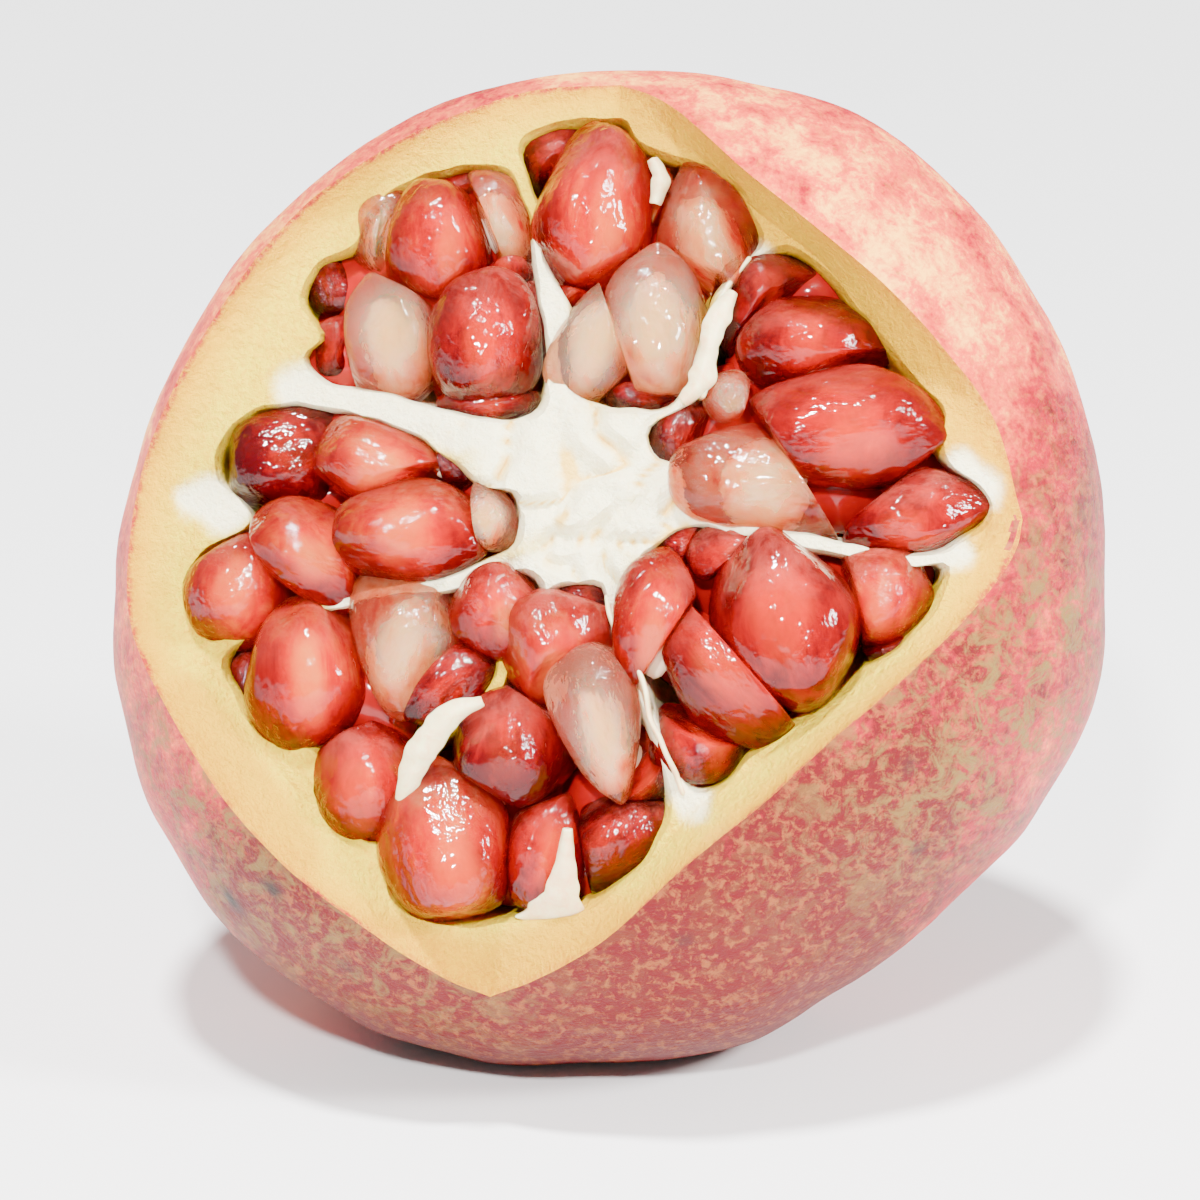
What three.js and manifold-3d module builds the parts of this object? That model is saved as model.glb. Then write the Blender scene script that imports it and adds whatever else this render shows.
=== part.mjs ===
import * as THREE from 'three';
import { mergeVertices } from 'three/addons/utils/BufferGeometryUtils.js';
import Module from 'manifold-3d';

// An open pomegranate, in millimetres. It is built in its own face frame: x to the right of the
// opening, y up across it, z out of it. The whole group is then turned so that the opening looks
// forward and a little up, and the fruit rests on a small flat spot at z = 0.

// Driving sizes of the fruit
const FRUIT_RADIUS = 45;
const DEPTH_RADIUS = 41.4;
const RIND_THICKNESS = 5.2;
const OPENING_TILT_DEG = 15;
const REST_SPOT_DEPTH = 1.9;
const EYE_DISTANCE = 405;

// Places on the photograph are given in its 1200 x 1200 pixels
const FRUIT_CENTRE_PX = [609, 567];
const FRUIT_RADIUS_PX = 498;
const PX_PER_MM = 10.998;

// Gap between an aril bunch and the husk around it, and between two bunches
const GAP = 0.35;

// How far the pith core of a bunch lies under the face, so that the arils stand out of it
const CORE_DROP = 4.2;

// Outline of the whole fruit: its radius in pixels every 15 degrees, from the right, anticlockwise
const OUTLINE_STEP_DEG = 15;
const OUTLINE_RADII_PX = [
  497, 501, 506, 513, 519, 505, 497, 495, 489, 484, 481, 484,
  495, 508, 520, 527, 523, 512, 498, 497, 482, 482, 495, 506,
];

// Outer edge of the cut rim, in three arcs between its corners
const OUTER_LEFT_PX = [
  [620, 82], [521, 92], [416, 131], [310, 201], [233, 289], [179, 377], [141, 470], [126, 559],
  [133, 640], [177, 728], [230, 809], [289, 872], [367, 931], [444, 981], [490, 1000],
];
const OUTER_BOTTOM_RIGHT_PX = [
  [490, 1000], [538, 980], [607, 940], [681, 872], [758, 809], [828, 745], [902, 682], [968, 619],
  [1014, 556], [1025, 520],
];
const OUTER_TOP_RIGHT_PX = [
  [1025, 520], [996, 418], [944, 348], [881, 281], [810, 222], [740, 166], [670, 105], [620, 82],
];

// Inner edge of the cut rim, where the pale rind ends and the chambers begin
const INNER_LEFT_PX = [
  [620, 118], [520, 142], [430, 168], [355, 212], [300, 275], [262, 340], [240, 390], [212, 445],
  [205, 505], [185, 570], [192, 630], [228, 692], [262, 748], [305, 800], [375, 858], [440, 912],
  [500, 930],
];
const INNER_BOTTOM_RIGHT_PX = [
  [500, 930], [575, 912], [645, 868], [700, 805], [760, 760], [815, 712], [870, 670], [915, 628],
  [955, 575], [992, 520],
];
const INNER_TOP_RIGHT_PX = [
  [992, 520], [978, 475], [940, 415], [885, 342], [825, 266], [757, 212], [702, 160], [655, 132],
  [620, 118],
];
const ARC_STEPS = [28, 16, 14];

// Face of the opening: its height over the fruit's mid-plane at a point of the face frame
const FACE_HEIGHT = 25.9;
const FACE_SLOPE_X = 0.185;
const FACE_SLOPE_Y = -0.128;
const FACE_DOME = 0.0045;
const RIM_LIP = 0.8;

// What was cut off over the opening: how far it reaches past the rim, its height over the
// mid-plane, and where rings of points lie on its underside, as shares of the rim's inner edge
const LID_REACH = 12;
const LID_TOP = 80;
const LID_RING_SHARES = [0.9, 0.45];

// Each chamber: its outline at the face in pixels, and its arils as
// [centre x, centre y, width, length, tilt in degrees, height of its top over the face in mm]
const CHAMBERS = [
  {
    name: 'arils_upper_left',
    colour: '#d9584e',
    outline: [
      [500, 172], [440, 178], [385, 205], [360, 245], [320, 272], [306, 305], [325, 335], [308, 355],
      [330, 382], [390, 393], [450, 410], [515, 418], [545, 395], [545, 335], [532, 270], [528, 215],
    ],
    arils: [
      [390, 235, 72, 92, 10, 0.6], [440, 245, 92, 122, 0, 3.2], [498, 222, 74, 100, 20, 1.0],
      [393, 337, 96, 125, 12, 2.4], [487, 338, 104, 126, 0, 3.4], [337, 288, 60, 74, 30, -1.8],
      [337, 348, 54, 66, -20, -2.2], [526, 330, 50, 96, 0, -1.6], [488, 396, 92, 50, 0, -1.4],
      [462, 185, 96, 50, 0, -1.6], [508, 272, 44, 46, 0, -0.8],
    ],
  },
  {
    name: 'arils_top',
    colour: '#d8766a',
    outline: [
      [522, 152], [550, 132], [618, 126], [640, 150], [690, 168], [722, 188], [748, 218], [756, 244],
      [738, 266], [712, 302], [697, 345], [684, 388], [650, 408], [575, 395], [562, 350], [572, 310],
      [548, 265], [542, 210],
    ],
    arils: [
      [555, 160, 84, 72, 20, -1.2], [597, 212, 112, 165, -8, 3.6], [710, 240, 90, 146, 14, 1.6],
      [657, 215, 40, 90, 0, -1.0], [598, 340, 70, 120, -20, 1.8], [660, 322, 92, 150, 4, 2.6],
      [645, 392, 76, 44, 0, -1.6], [574, 296, 44, 44, 0, -1.6],
    ],
  },
  {
    name: 'arils_right',
    colour: '#c93f3a',
    outline: [
      [754, 264], [790, 252], [826, 278], [862, 322], [884, 350], [912, 385], [936, 412], [938, 456],
      [974, 484], [986, 512], [950, 542], [900, 552], [830, 536], [760, 524], [700, 510], [688, 470],
      [656, 455], [652, 425], [702, 396], [712, 350], [728, 300],
    ],
    arils: [
      [767, 300, 112, 98, 30, 0.6], [815, 346, 136, 90, -10, 1.8], [843, 428, 194, 108, 0, 3.4],
      [730, 397, 46, 48, 0, 1.6], [682, 437, 64, 76, 0, -0.6], [766, 480, 172, 100, -8, 2.6],
      [912, 514, 150, 80, 6, 1.4],
    ],
  },
  {
    name: 'arils_lower_right',
    colour: '#d6473f',
    outline: [
      [652, 552], [690, 528], [740, 538], [825, 555], [900, 568], [942, 566], [934, 602], [900, 640],
      [850, 680], [800, 716], [752, 750], [725, 780], [692, 784], [668, 740], [652, 690], [628, 640],
      [622, 602], [638, 572],
    ],
    arils: [
      [688, 541, 66, 44, 0, -0.8], [735, 556, 92, 54, 0, 0.8], [658, 622, 84, 126, -4, 3.6],
      [785, 618, 132, 166, 12, 5.4], [728, 668, 104, 160, 40, 4.2], [878, 596, 98, 92, -10, 2.2],
      [896, 640, 76, 56, -40, -0.6], [703, 737, 100, 84, 30, 1.2],
    ],
  },
  {
    name: 'arils_bottom',
    colour: '#c43a40',
    outline: [
      [560, 590], [598, 584], [606, 605], [614, 645], [636, 695], [655, 750], [667, 800], [640, 862],
      [580, 903], [505, 916], [450, 918], [400, 892], [400, 845], [420, 788], [450, 740], [498, 703],
      [515, 655], [536, 610],
    ],
    arils: [
      [582, 602, 64, 44, 0, -0.8], [562, 662, 112, 140, 10, 2.4], [600, 728, 66, 142, 14, 4.2],
      [508, 748, 114, 120, 0, 3.4], [448, 842, 124, 150, 8, 5.0], [545, 846, 84, 118, -12, 1.6],
      [632, 764, 72, 82, 0, 0.6], [622, 836, 88, 112, -44, 0.8],
    ],
  },
  {
    name: 'arils_lower_left',
    colour: '#cf4740',
    outline: [
      [448, 594], [482, 574], [526, 576], [540, 600], [502, 646], [486, 690], [436, 718], [404, 768],
      [386, 835], [350, 824], [318, 790], [322, 750], [268, 736], [240, 690], [232, 656], [285, 626],
      [350, 608],
    ],
    arils: [
      [312, 675, 116, 150, 6, 3.4], [411, 646, 108, 136, -10, 2.6], [500, 611, 88, 94, 0, 3.0],
      [458, 682, 70, 112, -48, 1.6], [370, 778, 106, 116, 10, 2.6], [250, 678, 44, 60, 0, -1.8],
      [348, 808, 60, 44, -20, -1.2],
    ],
  },
  {
    name: 'arils_left',
    colour: '#d24d49',
    outline: [
      [224, 452], [250, 418], [290, 405], [350, 416], [402, 432], [450, 462], [480, 486], [514, 496],
      [516, 540], [490, 558], [440, 576], [350, 592], [280, 610], [222, 638], [200, 618], [190, 582],
      [212, 548], [250, 526], [246, 502], [224, 482],
    ],
    arils: [
      [292, 457, 140, 100, 6, 0.8], [388, 470, 150, 84, -26, 1.8], [413, 530, 150, 94, 0, 3.2],
      [498, 517, 32, 62, 0, 1.4], [448, 462, 62, 40, -30, -1.2], [243, 592, 104, 106, 0, 3.0],
      [322, 554, 136, 82, -28, 2.2],
    ],
  },
];

// Membranes that stand up between the bunches, as a route in pixels and their height over the face
const MEMBRANES = [
  { route: [[700, 400], [708, 352], [720, 300], [752, 256]], thickness: 1.3, top: 2.2 },
  { route: [[605, 595], [622, 645], [645, 695], [664, 750], [684, 795]], thickness: 1.2, top: 2.4 },
  { route: [[492, 697], [444, 728], [412, 778], [394, 838]], thickness: 1.0, top: 3.2 },
  { route: [[566, 858], [558, 910]], thickness: 1.6, top: 2.6 },
];
const MEMBRANE_ROOT = 7;

// An aril's shape: how deep it is for its width, how much narrower one end is, and its soft sides
const ARIL_DEPTH_SHARE = 1.1;
const ARIL_TAPER = 0.1;
const ARIL_SIDES = 5;
const ARIL_SIDE_DEPTH = 0.05;

// Stem end, on the side away from the opening, with its woody scar
const STEM_DIRECTION = new THREE.Vector3(0.11, -0.33, -0.94).normalize();
const STEM_DIMPLE_DEPTH = 1.4;
const STEM_DIMPLE_SPREAD = 0.24;
const STEM_SCAR_RADIUS = 3.2;
const STEM_SCAR_HEIGHT = 2.6;
const STEM_SCAR_TAPER = 0.82;
const STEM_SCAR_SIDES = 12;

// Soft ribs that run from the stem end and fade out towards the opening
const RIB_COUNT = 6;
const RIB_HEIGHT = 0.012;
const RIB_FADE_START = 0.15;
const RIB_FADE_END = 0.7;

// Finishes
const HUSK_COLOUR = '#dcb49a';
const HUSK_ROUGHNESS = 0.5;
const ARIL_ROUGHNESS = 0.15;

// Mesh fineness
const HUSK_DETAIL = 9;
const CHAMBER_DETAIL = 3;
const ARIL_DETAIL = 2;
const SMALL_ARIL_DETAIL = 1;
const SMALL_ARIL_PX = 100;
const CHAMBER_OUTLINE_STEPS = 24;

// Points closer than this are one point
const WELD_DISTANCE = 1e-5;

// How often a place is brought nearer to its answer
const FACE_ROUNDS = 4;
const SKIN_ROUNDS = 40;
const REST_ROUNDS = 60;

const wasm = await Module();
wasm.setup();

// Turns a closed three.js geometry into a solid that can be joined and cut
function solid(geometry) {
  const bare = geometry.clone();
  bare.deleteAttribute('normal');
  bare.deleteAttribute('uv');
  const merged = mergeVertices(bare, WELD_DISTANCE);
  const mesh = new wasm.Mesh({
    numProp: 3,
    vertProperties: new Float32Array(merged.attributes.position.array),
    triVerts: new Uint32Array(merged.index.array),
  });
  return new wasm.Manifold(mesh);
}

// Gives the geometry of a solid back
function geometryOf(body) {
  const mesh = body.getMesh();
  const geometry = new THREE.BufferGeometry();
  geometry.setAttribute('position', new THREE.BufferAttribute(mesh.vertProperties, 3));
  geometry.setIndex(new THREE.BufferAttribute(mesh.triVerts, 1));
  geometry.computeVertexNormals();
  return geometry;
}

// Keeps the largest of the loose pieces of a solid
function largestPiece(body) {
  const pieces = body.decompose();
  return pieces.reduce((best, piece) => (piece.volume() > best.volume() ? piece : best));
}

// Height of the opening's face over the mid-plane
function faceHeight(x, y) {
  return FACE_HEIGHT + FACE_SLOPE_X * x + FACE_SLOPE_Y * y - FACE_DOME * (x * x + y * y);
}

// The point that a pixel shows at a given height, seen from the eye straight out from the face
function pixelAtHeight([px, py], height) {
  const nearness = 1 - height / EYE_DISTANCE;
  const x = ((px - FRUIT_CENTRE_PX[0]) / PX_PER_MM) * nearness;
  const y = ((FRUIT_CENTRE_PX[1] - py) / PX_PER_MM) * nearness;
  return new THREE.Vector3(x, y, height);
}

// The point of the face that a pixel shows
function pixelOnFace(pixel, lift = 0) {
  let point = pixelAtHeight(pixel, FACE_HEIGHT);
  for (let round = 0; round < FACE_ROUNDS; round += 1) {
    point = pixelAtHeight(pixel, faceHeight(point.x, point.y) + lift);
  }
  return point;
}

// Radius of the fruit in its mid-plane, at an angle from the right
function outlineRadius(angle) {
  const count = OUTLINE_RADII_PX.length;
  const place = (THREE.MathUtils.radToDeg(angle) / OUTLINE_STEP_DEG + count) % count;
  const before = Math.floor(place);
  const share = (1 - Math.cos(Math.PI * (place - before))) / 2;
  const first = OUTLINE_RADII_PX[before % count];
  const second = OUTLINE_RADII_PX[(before + 1) % count];
  return (FRUIT_RADIUS * THREE.MathUtils.lerp(first, second, share)) / FRUIT_RADIUS_PX;
}

// Distance of the skin from the fruit's centre, in a given direction
function skinDistance(direction) {
  const across = Math.hypot(direction.x, direction.y);
  const outline = outlineRadius(Math.atan2(direction.y, direction.x));
  const smooth = 1 / Math.hypot(across / outline, direction.z / DEPTH_RADIUS);
  const back = THREE.MathUtils.smoothstep(-direction.z, RIB_FADE_START, RIB_FADE_END);
  const rib = RIB_HEIGHT * across * back * Math.cos(RIB_COUNT * Math.atan2(direction.y, direction.x));
  const offStem = direction.angleTo(STEM_DIRECTION) / STEM_DIMPLE_SPREAD;
  const dimple = STEM_DIMPLE_DEPTH * Math.exp(-offStem * offStem);
  return smooth * (1 + rib) - dimple;
}

// A closed ball whose surface lies a given depth under the skin
function ballUnderSkin(depth, detail) {
  const geometry = new THREE.IcosahedronGeometry(1, detail);
  const position = geometry.attributes.position;
  const direction = new THREE.Vector3();
  for (let i = 0; i < position.count; i += 1) {
    direction.fromBufferAttribute(position, i).normalize();
    direction.multiplyScalar(skinDistance(direction) - depth);
    position.setXYZ(i, direction.x, direction.y, direction.z);
  }
  return solid(geometry);
}

// The point of the skin that a pixel shows
function pixelOnSkin(pixel) {
  let outside = FRUIT_RADIUS * 1.5;
  let inside = 0;
  for (let round = 0; round < SKIN_ROUNDS; round += 1) {
    const height = (outside + inside) / 2;
    const point = pixelAtHeight(pixel, height);
    if (point.length() > skinDistance(point.clone().normalize())) {
      outside = height;
    } else {
      inside = height;
    }
  }
  return pixelAtHeight(pixel, inside);
}

// Evenly spaced points on a smooth line through pixels, without the last one
function alongArc(pixels, steps) {
  const curve = new THREE.CatmullRomCurve3(pixels.map(([x, y]) => new THREE.Vector3(x, y, 0)));
  return curve.getSpacedPoints(steps).slice(0, steps).map((point) => [point.x, point.y]);
}

// The ring of pixels around the whole opening, from its three arcs
function ringOfArcs(...arcs) {
  return arcs.flatMap((pixels, index) => alongArc(pixels, ARC_STEPS[index]));
}

// Everything that was cut away over the opening: its underside is the rim and the face
function lid(drop) {
  const outer = ringOfArcs(OUTER_LEFT_PX, OUTER_BOTTOM_RIGHT_PX, OUTER_TOP_RIGHT_PX).map(pixelOnSkin);
  const inner = ringOfArcs(INNER_LEFT_PX, INNER_BOTTOM_RIGHT_PX, INNER_TOP_RIGHT_PX)
    .map((pixel) => pixelOnFace(pixel, RIM_LIP));
  const beyond = outer.map((point) => {
    const outward = point.clone().setZ(0).normalize();
    return point.clone().addScaledVector(outward, LID_REACH);
  });
  const above = beyond.map((point) => new THREE.Vector3(point.x, point.y, LID_TOP));
  const faceRings = LID_RING_SHARES.map((share) => inner.map((point) => {
    const x = point.x * share;
    const y = point.y * share;
    return new THREE.Vector3(x, y, faceHeight(x, y));
  }));
  const rings = [above, beyond, outer, inner, ...faceRings];
  const count = outer.length;
  const positions = rings.flat().flatMap((point) => [point.x, point.y, point.z - drop]);
  const topCentre = rings.length * count;
  const faceCentre = topCentre + 1;
  positions.push(0, 0, LID_TOP - drop, 0, 0, faceHeight(0, 0) - drop);
  const index = [];
  for (let i = 0; i < count; i += 1) {
    const next = (i + 1) % count;
    index.push(topCentre, i, next);
    for (let ring = 0; ring < rings.length - 1; ring += 1) {
      const a = ring * count + i;
      const b = ring * count + next;
      index.push(a, a + count, b, b, a + count, b + count);
    }
    const last = (rings.length - 1) * count;
    index.push(faceCentre, last + next, last + i);
  }
  const geometry = new THREE.BufferGeometry();
  geometry.setAttribute('position', new THREE.Float32BufferAttribute(positions, 3));
  geometry.setIndex(index);
  return solid(geometry);
}

// Moves each point of a closed outline inwards
function insetOutline(points, inset) {
  const area = THREE.ShapeUtils.area(points);
  const side = Math.sign(area) * inset;
  return points.map((point, i) => {
    const before = points[(i + points.length - 1) % points.length];
    const after = points[(i + 1) % points.length];
    const along = after.clone().sub(before).normalize();
    return new THREE.Vector2(point.x - along.y * side, point.y + along.x * side);
  });
}

// A straight-sided solid along the face frame's z, between two heights
function prism(points, bottom, top) {
  const geometry = new THREE.ExtrudeGeometry(new THREE.Shape(points), {
    depth: top - bottom,
    bevelEnabled: false,
  });
  geometry.translate(0, 0, bottom);
  return solid(geometry);
}

// The hollow of one chamber, from the back of the fruit to over its face
function chamberHollow(chamber, inset) {
  const corners = chamber.outline.map((pixel) => pixelOnFace(pixel));
  const curve = new THREE.CatmullRomCurve3(corners, true);
  const points = curve.getSpacedPoints(CHAMBER_OUTLINE_STEPS).slice(0, CHAMBER_OUTLINE_STEPS)
    .map((point) => new THREE.Vector2(point.x, point.y));
  const column = prism(insetOutline(points, inset), -FRUIT_RADIUS, FRUIT_RADIUS);
  const room = ballUnderSkin(RIND_THICKNESS + inset, CHAMBER_DETAIL);
  return column.intersect(room);
}

// A thin standing sheet that follows a route over the face
function membrane({ route, thickness, top }, extra) {
  const line = new THREE.CatmullRomCurve3(route.map((pixel) => pixelOnFace(pixel)));
  const points = line.getPoints(route.length * 2);
  const half = thickness / 2 + extra;
  const left = [];
  const right = [];
  points.forEach((point, i) => {
    const before = points[Math.max(i - 1, 0)];
    const after = points[Math.min(i + 1, points.length - 1)];
    const along = after.clone().sub(before).setZ(0).normalize();
    left.push(new THREE.Vector2(point.x - along.y * half, point.y + along.x * half));
    right.unshift(new THREE.Vector2(point.x + along.y * half, point.y - along.x * half));
  });
  const heights = points.map((point) => point.z);
  const sheet = prism([...left, ...right], Math.min(...heights) - MEMBRANE_ROOT, FRUIT_RADIUS);
  return sheet.subtract(lid(-top - extra));
}

// The woody scar where the stem was
function stemScar() {
  const geometry = new THREE.CylinderGeometry(
    STEM_SCAR_RADIUS * STEM_SCAR_TAPER, STEM_SCAR_RADIUS, STEM_SCAR_HEIGHT * 2, STEM_SCAR_SIDES,
  );
  const turn = new THREE.Quaternion().setFromUnitVectors(new THREE.Vector3(0, 1, 0), STEM_DIRECTION);
  geometry.applyQuaternion(turn);
  const foot = STEM_DIRECTION.clone().multiplyScalar(skinDistance(STEM_DIRECTION));
  geometry.translate(foot.x, foot.y, foot.z);
  return solid(geometry);
}

// The husk: skin, rind, septa, pith core and stem scar, grown as one. A clearance makes it larger
// all round, to cut the bunches clear of it.
function husk(clearance) {
  let body = ballUnderSkin(-clearance, HUSK_DETAIL).subtract(lid(-clearance));
  CHAMBERS.forEach((chamber) => {
    body = body.subtract(chamberHollow(chamber, clearance));
  });
  MEMBRANES.forEach((sheet) => {
    body = body.add(membrane(sheet, clearance));
  });
  return body;
}

// One aril: a soft pear with flattened sides, its narrow end down or to one side
function aril([px, py, width, length, tilt, top], number, extra) {
  const small = Math.min(width, length) < SMALL_ARIL_PX;
  const geometry = new THREE.IcosahedronGeometry(1, small ? SMALL_ARIL_DETAIL : ARIL_DETAIL);
  const position = geometry.attributes.position;
  const point = new THREE.Vector3();
  const halfWidth = width / 2 / PX_PER_MM;
  const halfLength = length / 2 / PX_PER_MM;
  const halfDepth = Math.min(halfWidth, halfLength) * ARIL_DEPTH_SHARE;
  for (let i = 0; i < position.count; i += 1) {
    point.fromBufferAttribute(position, i).normalize();
    const around = Math.atan2(point.z, point.x);
    const facet = 1 + ARIL_SIDE_DEPTH * Math.cos(ARIL_SIDES * around + number);
    const taper = 1 - ARIL_TAPER * point.y;
    position.setXYZ(
      i,
      point.x * (halfWidth * taper * facet + extra),
      point.y * (halfLength + extra),
      point.z * (halfDepth * taper * facet + extra),
    );
  }
  geometry.rotateZ(THREE.MathUtils.degToRad(tilt));
  const centre = pixelOnFace([px, py], top - halfDepth);
  geometry.translate(centre.x, centre.y, centre.z);
  return solid(geometry);
}

// The joined arils of one chamber, made larger all round by a clearance
function arilsOf(chamber, extra) {
  return chamber.arils
    .map((place, number) => aril(place, number, extra))
    .reduce((joined, next) => joined.add(next));
}

// The bunch of a chamber: its arils standing out of a core that fills the chamber under the face
function bunch(chamber, grownHusk, neighbours) {
  const core = chamberHollow(chamber, GAP).subtract(lid(CORE_DROP));
  let body = core.add(arilsOf(chamber, 0)).subtract(grownHusk);
  neighbours.forEach((neighbour) => {
    body = body.subtract(arilsOf(neighbour, GAP));
  });
  return largestPiece(body);
}

// The turn from the face frame to the fruit at rest
const restTurn = new THREE.Euler(THREE.MathUtils.degToRad(90 - OPENING_TILT_DEG), 0, 0);

// The lowest point of the fruit once it is turned, with the rest spot's depth taken off
function restPoint() {
  const down = new THREE.Vector3(0, 0, -1).applyEuler(new THREE.Euler(-restTurn.x, 0, 0));
  const direction = down.clone();
  const lowest = new THREE.Vector3();
  for (let round = 0; round < REST_ROUNDS; round += 1) {
    const angle = Math.atan2(direction.y, direction.x);
    const across = outlineRadius(angle);
    lowest.set(down.x * across ** 2, down.y * across ** 2, down.z * DEPTH_RADIUS ** 2);
    direction.copy(lowest).normalize();
  }
  lowest.copy(direction).multiplyScalar(skinDistance(direction));
  return lowest.addScaledVector(down, -REST_SPOT_DEPTH);
}

// The slab under the rest spot, in the face frame
function floorSlab(spot) {
  const size = 4 * FRUIT_RADIUS;
  const geometry = new THREE.BoxGeometry(size, size, FRUIT_RADIUS);
  geometry.translate(0, 0, -FRUIT_RADIUS / 2);
  geometry.rotateX(-restTurn.x);
  geometry.translate(spot.x, spot.y, spot.z);
  return solid(geometry);
}

// A named mesh with its finish
function namedMesh(name, body, colour, roughness) {
  const material = new THREE.MeshStandardMaterial({ color: colour, roughness, metalness: 0 });
  const mesh = new THREE.Mesh(geometryOf(body), material);
  mesh.name = name;
  return mesh;
}

const spot = restPoint();
const fruit = new THREE.Group();
fruit.rotation.copy(restTurn);
fruit.position.copy(spot.clone().applyEuler(restTurn).negate());

const huskBody = largestPiece(husk(0).add(stemScar()).subtract(floorSlab(spot)));
fruit.add(namedMesh('husk', huskBody, HUSK_COLOUR, HUSK_ROUGHNESS));

const grownHusk = husk(GAP);
CHAMBERS.forEach((chamber, number) => {
  const body = bunch(chamber, grownHusk, CHAMBERS.slice(0, number));
  fruit.add(namedMesh(chamber.name, body, chamber.colour, ARIL_ROUGHNESS));
});

const pomegranate = new THREE.Group();
pomegranate.add(fruit);

export default pomegranate;
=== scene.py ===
"""An open pomegranate: mottled skin, cut rim, torn pith and bunches of wet arils, in a plain studio."""
import logging
import math
import random
from collections.abc import Callable
from dataclasses import dataclass
from enum import Enum

import bpy
import numpy as np
from mathutils import Matrix, Vector, noise


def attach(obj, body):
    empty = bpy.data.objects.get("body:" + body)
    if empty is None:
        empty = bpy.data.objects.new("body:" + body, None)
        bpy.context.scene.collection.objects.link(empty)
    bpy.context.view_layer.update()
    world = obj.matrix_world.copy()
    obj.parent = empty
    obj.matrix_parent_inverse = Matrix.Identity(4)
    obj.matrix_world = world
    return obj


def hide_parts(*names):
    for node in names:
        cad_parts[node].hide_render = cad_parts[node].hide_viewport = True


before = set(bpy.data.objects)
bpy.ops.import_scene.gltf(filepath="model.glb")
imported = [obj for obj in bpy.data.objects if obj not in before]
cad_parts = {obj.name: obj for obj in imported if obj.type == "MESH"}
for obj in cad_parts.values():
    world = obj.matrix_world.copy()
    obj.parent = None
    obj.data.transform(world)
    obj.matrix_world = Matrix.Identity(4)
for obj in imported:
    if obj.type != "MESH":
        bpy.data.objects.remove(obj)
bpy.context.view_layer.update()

LOG = logging.getLogger("pomegranate")

# The fruit's own sizes in millimetres, and how the photograph shows them
FRUIT_RADIUS = 45.0
DEPTH_RADIUS = 41.4
OPENING_TILT_DEG = 15.0
REST_SPOT_DEPTH = 1.9
EYE_DISTANCE = 405.0
FRUIT_CENTRE_PX = (609.0, 567.0)
FRUIT_RADIUS_PX = 498.0
PX_PER_MM = 10.998
IMAGE_PX = 1200.0
SENSOR_MM = 36.0
MM = 0.001
GOLDEN_ANGLE = math.pi * (3.0 - math.sqrt(5.0))
UPRIGHT = 0.9
CURVE_STEPS = 24
WELD_DISTANCE = 1e-7
SMOOTH_ALL_DEG = 180.0
SCREEN_WHITE = 255.0
SCREEN_GAMMA = 2.2

# How far out the search for the skin starts, and how often each search repeats
SKIN_SEARCH_REACH = 1.5
SKIN_SEARCH_STEPS = 40
FACE_SEARCH_STEPS = 4
SPOT_SEARCH_STEPS = 60

OUTLINE_STEP_DEG = 15.0
OUTLINE_RADII_PX = (
    497, 501, 506, 513, 519, 505, 497, 495, 489, 484, 481, 484,
    495, 508, 520, 527, 523, 512, 498, 497, 482, 482, 495, 506,
)
STEM_DIRECTION = Vector((0.11, -0.33, -0.94)).normalized()
STEM_DIMPLE_DEPTH = 1.4
STEM_DIMPLE_SPREAD = 0.24
RIB_COUNT = 6
RIB_HEIGHT = 0.012
RIBS_FADE = (0.15, 0.7)

# Height of the cut face over the fruit's mid-plane
FACE_HEIGHT = 25.9
FACE_SLOPE_X = 0.185
FACE_SLOPE_Y = -0.128
FACE_DOME = 0.0045
RIM_LIP = 0.8

Pixel = tuple[float, float]
Socket = bpy.types.NodeSocket
Piece = bpy.types.Object
Material = bpy.types.Material


def face_height(x: np.ndarray, y: np.ndarray) -> np.ndarray:
    """Return the height of the cut face at points of the face frame.

    Args:
        x: Places to the right of the fruit's centre, in mm.
        y: Places above it, in mm.

    Returns:
        Heights towards the eye, in mm.
    """
    return FACE_HEIGHT + FACE_SLOPE_X * x + FACE_SLOPE_Y * y - FACE_DOME * (x * x + y * y)


def pixel_at_height(pixel: Pixel, height: float) -> np.ndarray:
    """Return the point that a pixel shows at a given height over the mid-plane, in mm."""
    nearness = 1.0 - height / EYE_DISTANCE
    x = (pixel[0] - FRUIT_CENTRE_PX[0]) / PX_PER_MM * nearness
    y = (FRUIT_CENTRE_PX[1] - pixel[1]) / PX_PER_MM * nearness
    return np.array((x, y, height))


def pixel_on_face(pixel: Pixel, lift: float = 0.0) -> np.ndarray:
    """Return the point of the cut face that a pixel shows.

    Args:
        pixel: Place in the photograph.
        lift: Height over the face, in mm.

    Returns:
        The point in the face frame, in mm.
    """
    point = pixel_at_height(pixel, FACE_HEIGHT)
    for _ in range(FACE_SEARCH_STEPS):
        point = pixel_at_height(pixel, float(face_height(point[0], point[1])) + lift)
    return point


def outline_radius(angle: np.ndarray) -> np.ndarray:
    """Return the fruit's radius in its mid-plane at angles from the right, in mm."""
    radii = np.array(OUTLINE_RADII_PX, dtype=float)
    place = np.mod(np.degrees(angle) / OUTLINE_STEP_DEG, len(radii))
    before = np.floor(place).astype(int)
    share = (1.0 - np.cos(np.pi * (place - before))) / 2.0
    first = radii[before % len(radii)]
    second = radii[(before + 1) % len(radii)]
    return FRUIT_RADIUS * (first + (second - first) * share) / FRUIT_RADIUS_PX


def smoothstep(value: np.ndarray, low: float, high: float) -> np.ndarray:
    """Return 0 below low, 1 above high and a smooth rise between them."""
    share = np.clip((value - low) / (high - low), 0.0, 1.0)
    return share * share * (3.0 - 2.0 * share)


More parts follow.
